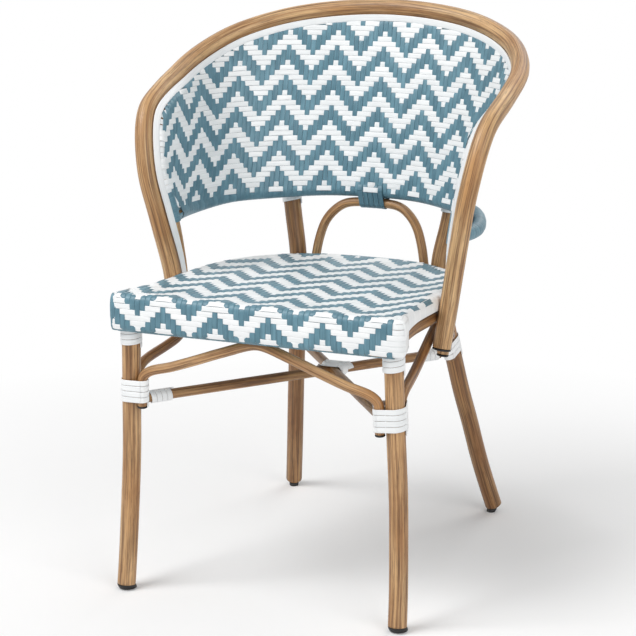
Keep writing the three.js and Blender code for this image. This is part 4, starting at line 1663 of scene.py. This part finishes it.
    def _hoop_lip(self, grid_place: Array) -> list[Place]:
        """The stretch of a row that goes on round the hoop, where the hoop is steep.

        Args:
            grid_place: the grid's station and sample where the row leaves the panel.

        Returns:
            Its places, from the panel to the piping.
        """
        station = int(grid_place[0])
        if not self.steep[station]:
            return []
        first = max(int(grid_place[1]) + self.lip_stride, self.edge + 1)
        lip = slice(first, None, self.lip_stride)
        return list(zip(self.points[station, lip], self.normals[station, lip]))


@dataclass
class WovenSeat(Weave):
    """The two-tone twill seat: its sagging top, wrapped edges and front apron.

    Lengths travelled run up the front from the foot of its edge's round, and on over the top.
    Row 0 is the apron's highest. Rows below it count up, and rows above it count down.
    """

    node = "woven_seat"
    plane_height: float = 0.4556
    plane_slope: float = -0.0326
    half_width: float = 0.213
    flare: float = 0.018
    flare_start: float = -0.150
    corner_y: float = -0.287
    corner_x: float = 0.218
    corner_radius: float = 0.013
    back_start: float = -0.100
    back_depth: float = 0.272
    back_power: float = 2.5
    edge_round: float = 0.0119
    edge_depth: float = 0.025
    edge_angles: tuple[float, ...] = (15, 38, 62, 90)
    edge_face_places: int = 2
    edge_lift: float = 0.5
    least_facing: float = 0.5
    first_wrap_share: float = 0.8
    curl_radius: float = 0.003
    curl_angles: tuple[float, ...] = (30, 60, 95)
    sag: float = 0.003
    sag_reach: float = 0.035
    middle_level: float = 0.05
    probe_share: float = 1 / 60
    column_pitch: float = 0.00836
    valley_column: float = -0.0152
    row_pitch: float = 0.00935
    top_row_width: float = 0.0090
    first_top_row: int = -3
    edge_rows: tuple[float, ...] = (-0.0025, 0.0063, 0.0146, 0.0230)
    apron_pitch: float = 0.00805
    apron_rows: int = 5
    apron_side_depth: float = 0.044
    apron_side_places: int = 4
    corner_angles: tuple[float, ...] = (15, 40, 65, 90)
    corner_column_share: float = 0.7
    corner_column_rows: int = 3
    corner_column_places: int = 2
    ridge_row: int = -1
    ridge_share: float = 0.86
    last_peak: int = 25
    last_column: int = 27
    column_end_share: float = 0.2
    wrap_fullness: float = 1.06
    lower_rail_height: float = 0.4179
    lower_turn: float = math.radians(190)
    lower_places: int = 8
    lower_lift: float = 0.3
    strands: TwillStrands = TwillStrands(blue_width=0.0083, white_width=0.0081)

    def _prepare(self) -> None:
        """Works out the depths of the seat's front and back."""
        self.front = self.corner_y - self.corner_radius
        self.back = self.back_start + self.back_depth
        self.edge_foot = self.plane(self.front) - self.edge_round

    def _step(self, column: int, row: int) -> int:
        """A crossing's step in the twill's repeat of rows."""
        if column > self.last_peak:
            return row + column - self.last_peak
        return row - abs(self.columns_in_repeat // 2 - column % self.columns_in_repeat)

    def _rows(self, pile: SweepPile) -> None:
        """Lays the white rows on a pile."""
        self._top_rows(pile)
        self._apron_rows(pile)

    # Outline

    def plane(self, y: float) -> float:
        """The height of the seat's plane at a depth."""
        return self.plane_height + self.plane_slope * y

    def half_width_at(self, y: float) -> float:
        """The outline's half width at a depth."""
        if y < self.corner_y:
            inside = self.corner_radius ** 2 - (self.corner_y - y) ** 2
            return self.corner_x + math.sqrt(max(inside, 0.0))
        if y < self.flare_start:
            share = (y - self.flare_start) / (self.corner_y - self.flare_start)
            return self.half_width + self.flare * share ** 2
        if y < self.back_start:
            return self.half_width
        share = min((y - self.back_start) / self.back_depth, 1.0)
        return self.half_width * (1 - share ** self.back_power) ** (1 / self.back_power)

    def back_at(self, x: float) -> float:
        """The depth of the seat's back edge beside the middle."""
        share = min(abs(x) / self.half_width, 1.0)
        reach = (1 - share ** self.back_power) ** (1 / self.back_power)
        return self.back_start + self.back_depth * reach

    def front_at(self, x: float) -> float:
        """The depth of the seat's front edge beside the middle."""
        beyond = max(abs(x) - self.corner_x, 0.0)
        inside = max(self.corner_radius ** 2 - beyond ** 2, 0.0)
        return self.corner_y - math.sqrt(inside)

    def round_start(self, front: float) -> float:
        """The depth that stands for a length travelled of 0, behind a front edge."""
        return front + self.edge_round - self.edge_round * QUARTER_TURN

    def back_normal(self, x: float, y: float) -> Array:
        """The outward direction of the outline's round back, level."""
        across = abs(x) ** (self.back_power - 1) / self.half_width ** self.back_power
        depth = max(y - self.back_start, 0.0)
        along = depth ** (self.back_power - 1) / self.back_depth ** self.back_power
        return unit(np.array([math.copysign(across, x), along, 0.0]))

    def inset(self, x: float, y: float) -> float:
        """About how far a place across and deep in the seat lies inside the outline."""
        beside = self.half_width_at(y) - abs(x)
        ahead = y - self.front
        if y <= self.back_start:
            return min(beside, ahead)
        across = abs(x) / self.half_width
        along = (y - self.back_start) / self.back_depth
        level = (across ** self.back_power + along ** self.back_power) ** (1 / self.back_power)
        if level < self.middle_level:
            return ahead
        slope_x = (across / level) ** (self.back_power - 1) / self.half_width
        slope_y = (along / level) ** (self.back_power - 1) / self.back_depth
        return min((1 - level) / math.hypot(slope_x, slope_y), ahead)

    def height(self, x: float, y: float) -> float:
        """The height of the seat's top, which rounds off at its edges and sags within."""
        inset = max(self.inset(x, y), 0.0)
        missing = max(self.edge_round - inset, 0.0)
        drop = self.edge_round - math.sqrt(self.edge_round ** 2 - missing ** 2)
        share = min(max((inset - self.edge_round) / self.sag_reach, 0.0), 1.0)
        return self.plane(y) - drop - self.sag * eased(share)

    def top(self, x: float, y: float) -> Place:
        """A place on the seat's top."""
        probe = self.edge_round * self.probe_share
        across = (self.height(x + probe, y) - self.height(x - probe, y)) / (2 * probe)
        along = (self.height(x, y + probe) - self.height(x, y - probe)) / (2 * probe)
        return np.array([x, y, self.height(x, y)]), unit(np.array([-across, -along, 1.0]))

    def over_edge(self, x: float, y: float, outwards: Array) -> list[Place]:
        """The stretch of a strand that goes over the seat's edge and curls under.

        Args:
            x: where it goes over, across.
            y: where it goes over, in depth.
            outwards: the level direction out over the edge.

        Returns:
            Its places, from the top downwards.
        """
        base = np.array([x, y, self.plane(y)]) - outwards * self.edge_round
        places = []
        for angle in np.radians(self.edge_angles):
            out = outwards * math.sin(angle) + UP * math.cos(angle)
            places.append((base - UP * self.edge_round + out * self.edge_round, out))
        face = base + outwards * self.edge_round
        straight = self.edge_depth - self.curl_radius
        for drop in np.linspace(self.edge_round, straight, self.edge_face_places + 1)[1:]:
            places.append((face - UP * drop, outwards))
        centre = face - UP * straight - outwards * self.curl_radius
        for angle in np.radians(self.curl_angles):
            out = outwards * math.cos(angle) - UP * math.sin(angle)
            places.append((centre + out * self.curl_radius, out))
        return places

    def bounds_of(self, row: int) -> Span:
        """The lengths travelled where a row starts and ends."""
        bounds = self.edge_rows
        if row >= 0:
            return bounds[0] - (row + 1) * self.apron_pitch, bounds[0] - row * self.apron_pitch
        if -row < len(bounds):
            return bounds[-row - 1], bounds[-row]
        low = bounds[-1] + (-row - len(bounds)) * self.row_pitch
        return low, low + self.row_pitch

    def profile(self, x: float, travelled: float) -> Place:
        """A place on the seat in the plane of a column, at a length travelled."""
        front = self.front_at(x)
        foot = self.edge_foot
        round_length = self.edge_round * QUARTER_TURN
        if travelled > round_length:
            return self.top(x, front + self.edge_round + travelled - round_length)
        if foot + travelled > self.lower_rail_height and travelled <= 0:
            return np.array([x, front, foot + travelled]), -BACK
        if travelled > 0:
            angle, height = travelled / self.edge_round, foot
        else:
            angle = (foot + travelled - self.lower_rail_height) / self.edge_round
            height = self.lower_rail_height
        out = np.array([0.0, -math.cos(angle), math.sin(angle)])
        return np.array([x, front + self.edge_round, height]) + out * self.edge_round, out

    # Strands

    def _columns(self, pile: SweepPile) -> None:
        """Lays the blue columns on a pile, from behind the apron's foot to the back edge."""
        dice = np.random.default_rng(21)
        reach = self.corner_x + self.corner_radius * self.corner_column_share
        first = math.ceil((-reach - self.valley_column) / self.column_pitch)
        lower = self.edge_foot - self.lower_rail_height + self.edge_round * self.lower_turn
        lowest = self.bounds_of(self.apron_rows - 1)[0]
        for column in range(first, self.last_column + 1):
            x = self.valley_column + column * self.column_pitch
            strand = Strand()
            below = np.linspace(-lower, lowest, self.lower_places + 1)[:-1]
            under = [self.profile(x, travelled) for travelled in below]
            strand.follow(under, self.lower_lift, self.strands.blue_width)
            self._climb(strand, x, column)
            back = self.back_at(x)
            outwards = self.back_normal(x, back)
            inside = abs(x) < self.half_width - self.edge_round
            if inside and abs(outwards[0]) <= abs(outwards[1]):
                wrap = self.column_pitch * self.wrap_fullness / outwards[1]
                strand.follow(self.over_edge(x, back, outwards), self.edge_lift, wrap)
            self.strands.add(pile, strand, dice.uniform())

    def _climb(self, strand: Strand, x: float, column: int) -> None:
        """Takes a column up the apron and over the top.

        Args:
            strand: the column's strand.
            x: across.
            column: the column.
        """
        start = self.round_start(self.front_at(x))
        end = self._column_end(x)
        places, lifts = [], []
        row = self.apron_rows - 1
        low, high = self.bounds_of(row)
        while start + low <= end:
            under = self.blue_on_top(column, row + 1)
            here = self.blue_on_top(column, row)
            for travelled, other in ((low, under), ((low + high) / 2, here)):
                if start + travelled <= end:
                    places.append(self.profile(x, travelled))
                    lifts.append(levelled(here, other))
            row -= 1
            low, high = self.bounds_of(row)
        strand.follow(places, lifts, self.strands.blue_width)

    def _column_end(self, x: float) -> float:
        """The depth where a column leaves the seat's top."""
        if abs(x) < self.half_width - self.edge_round:
            back = self.back_at(x)
            facing = max(self.back_normal(x, back)[1], self.least_facing)
            return back - self.edge_round / facing
        y = self.corner_y
        inset = self.edge_round * self.column_end_share
        while self.half_width_at(y) - inset > abs(x) and y < self.back_start:
            y += self.row_pitch
        return y - self.row_pitch

    def _half_columns(self, reach: float) -> range:
        """The half columns, counted from the valley's, within a reach of the middle."""
        first = math.ceil((-reach - self.valley_column) / self.column_pitch * 2)
        last = math.floor((reach - self.valley_column) / self.column_pitch * 2)
        return range(first, last + 1)

    def _top_rows(self, pile: SweepPile) -> None:
        """Lays the white rows of the top on a pile, wrapped over the seat's two sides."""
        dice = np.random.default_rng(22)
        start = self.round_start(self.front)
        row = self.first_top_row
        travelled = sum(self.bounds_of(row)) / 2
        while start + travelled <= self.back - self.edge_round:
            self._top_row(pile, row, travelled, dice.uniform())
            row -= 1
            travelled = sum(self.bounds_of(row)) / 2

    def _top_row(self, pile: SweepPile, row: int, travelled: float, tone: float) -> None:
        """Lays one row of the top from side to side.

        Args:
            pile: where it goes.
            row: the row.
            travelled: the length travelled to its middle.
            tone: sets its shade apart.
        """
        y = self.profile(0.0, travelled)[0][1]
        half = self.half_width_at(y)
        outwards = self.back_normal(half, y) if y > self.back_start else RIGHT
        facing = max(outwards[0], self.least_facing)
        places, lifts = [], []
        for step in self._half_columns(half - self.edge_round / facing):
            x = self.valley_column + step * self.column_pitch / 2
            places.append(self.profile(x, travelled))
            lifts.append(self.row_lift(row, step / 2))
        low, high = self.bounds_of(row)
        over = []
        clear = y - self.front > self.edge_round * self.first_wrap_share
        if clear and outwards[0] >= abs(outwards[1]):
            over = self.over_edge(half, y, outwards)
        wrap = (high - low) * self.wrap_fullness / facing
        strand = Strand()
        strand.follow(mirrored(over), self.edge_lift, wrap)
        strand.follow(places, lifts, (high - low) * self.top_row_width / self.row_pitch)
        strand.follow(over, self.edge_lift, wrap)
        self.strands.add(pile, strand, tone)

    def _apron_rows(self, pile: SweepPile) -> None:
        """Lays the rows of the apron on a pile, turned round its two corners."""
        dice = np.random.default_rng(23)
        for row in range(self.first_top_row + 1, self.apron_rows):
            low, high = self.bounds_of(row)
            point, normal = self.profile(0.0, (low + high) / 2)
            places, lifts = [], []
            for step in self._half_columns(self.corner_x):
                x = self.valley_column + step * self.column_pitch / 2
                places.append((point + RIGHT * x, normal))
                lifts.append(self.row_lift(row, step / 2))
            corner = self._apron_corner(point, normal)
            # Blue columns lie over the rows' left ends, beside the leg.
            left = np.full(len(corner), self.edge_lift)
            if row < self.corner_column_rows:
                left[-self.corner_column_places:] = -1.0
            fullness = self.ridge_share if row == self.ridge_row else 1.0
            width = self.strands.white_width * (high - low) / self.apron_pitch * fullness
            strand = Strand()
            strand.follow(mirrored(corner), left, width)
            strand.follow(places, lifts, width)
            strand.follow(corner, self.edge_lift, width)
            self.strands.add(pile, strand, dice.uniform())

    def _apron_corner(self, point: Array, normal: Array) -> list[Place]:
        """The stretch of an apron's row round its right corner and along its side.

        Args:
            point: the row's point at the middle of the front.
            normal: the outward direction there.

        Returns:
            Its places, from the front backwards.
        """
        height, rise = point[2], normal[2]
        tuck = point[1] - self.front
        level = math.sqrt(1 - rise ** 2)
        places = []
        centre = np.array([self.corner_x, self.corner_y, height])
        for angle in np.radians(self.corner_angles):
            out = RIGHT * math.sin(angle) - BACK * math.cos(angle)
            place = centre + out * (self.corner_radius - tuck)
            places.append((place, unit(out * level + UP * rise)))
        side = unit(np.array([level, 0.0, rise]))
        end = self.front + self.apron_side_depth
        for y in np.linspace(self.corner_y, end, self.apron_side_places + 1)[1:]:
            places.append((np.array([self.half_width_at(y) - tuck, y, height]), side))
        return places


# Studio


@dataclass(frozen=True)
class Lamp:
    """A large soft lamp: where it hangs, the length of its sides, and its watts."""

    name: str
    place: Triple
    width: float
    power: float


@dataclass
class Studio:
    """The camera, lamps, white surroundings and floor."""

    finishes: Finishes
    target: Triple = (-0.022, 0.0, 0.38)
    distance: float = 3.093
    azimuth: float = math.radians(22.72)
    elevation: float = math.radians(13.5)
    focal_pixels: float = 1967.7
    image_pixels: float = 636.0
    sensor: float = 36.0
    surround_strength: float = 0.38
    floor_radius: float = 9.0
    floor_segments: int = 96
    lamps: tuple[Lamp, ...] = (
        Lamp("key_lamp", (-1.7, -2.0, 3.6), 2.0, 100.0),
        Lamp("fill_lamp", (2.7, -1.9, 2.0), 2.4, 40.0),
        Lamp("back_lamp", (0.6, 2.6, 2.6), 2.0, 22.0),
    )

    def build(self) -> None:
        """Builds the studio."""
        level = math.cos(self.elevation)
        away = Vector((
            math.sin(self.azimuth) * level,
            -math.cos(self.azimuth) * level,
            math.sin(self.elevation),
        ))
        lens = bpy.data.cameras.new("chair_camera")
        lens.sensor_width = self.sensor
        lens.lens = self.sensor * self.focal_pixels / self.image_pixels
        place = Vector(self.target) + away * self.distance
        bpy.context.scene.camera = self._aimed("chair_camera", lens, place)
        self._surroundings()
        for lamp in self.lamps:
            light = bpy.data.lights.new(lamp.name, "AREA")
            light.size = lamp.width
            light.energy = lamp.power
            self._aimed(lamp.name, light, Vector(lamp.place))
        self._floor()
        bpy.context.scene.view_settings.view_transform = "Standard"

    def _aimed(self, name: str, data: bpy.types.ID, place: Vector) -> bpy.types.Object:
        """Adds an object that faces the target.

        Args:
            name: its name.
            data: its camera or lamp.
            place: where it is.

        Returns:
            The object.
        """
        aimed = bpy.data.objects.new(name, data)
        aimed.location = place
        aimed.rotation_euler = (Vector(self.target) - place).to_track_quat("-Z", "Y").to_euler()
        bpy.context.scene.collection.objects.link(aimed)
        return aimed

    def _surroundings(self) -> None:
        """Lights the chair evenly, and shows white behind it."""
        world = bpy.data.worlds.new("studio_surroundings")
        bpy.context.scene.world = world
        world.use_nodes = True
        graph = Graph(world.node_tree)
        lit, shown = (
            graph.out(graph.node(
                "ShaderNodeBackground", None, {"Color": graph.white, "Strength": strength}
            ))
            for strength in (self.surround_strength, 1.0)
        )
        surface = graph.shared(graph.seen(), lit, shown)
        graph.node("ShaderNodeOutputWorld", None, {"Surface": surface})

    def _floor(self) -> None:
        """Lays the floor."""
        shape = bmesh.new()
        bmesh.ops.create_circle(
            shape, cap_ends=True, radius=self.floor_radius, segments=self.floor_segments
        )
        mesh = bpy.data.meshes.new("studio_floor")
        shape.to_mesh(mesh)
        shape.free()
        mesh.materials.append(self.finishes.floor)
        floor = bpy.data.objects.new("studio_floor", mesh)
        bpy.context.scene.collection.objects.link(floor)


def main() -> None:
    """Builds the studio, and then the chair's sub-assemblies in order."""
    logging.basicConfig(level=logging.INFO, format="%(name)s: %(message)s")
    finishes = Finishes()
    for assembly in (Studio, CaneFrame, MouldedEnds, Windings, WovenBack, WovenSeat):
        LOG.info("building %s", assembly.__name__)
        assembly(finishes).build()


if __name__ == "__main__":
    main()
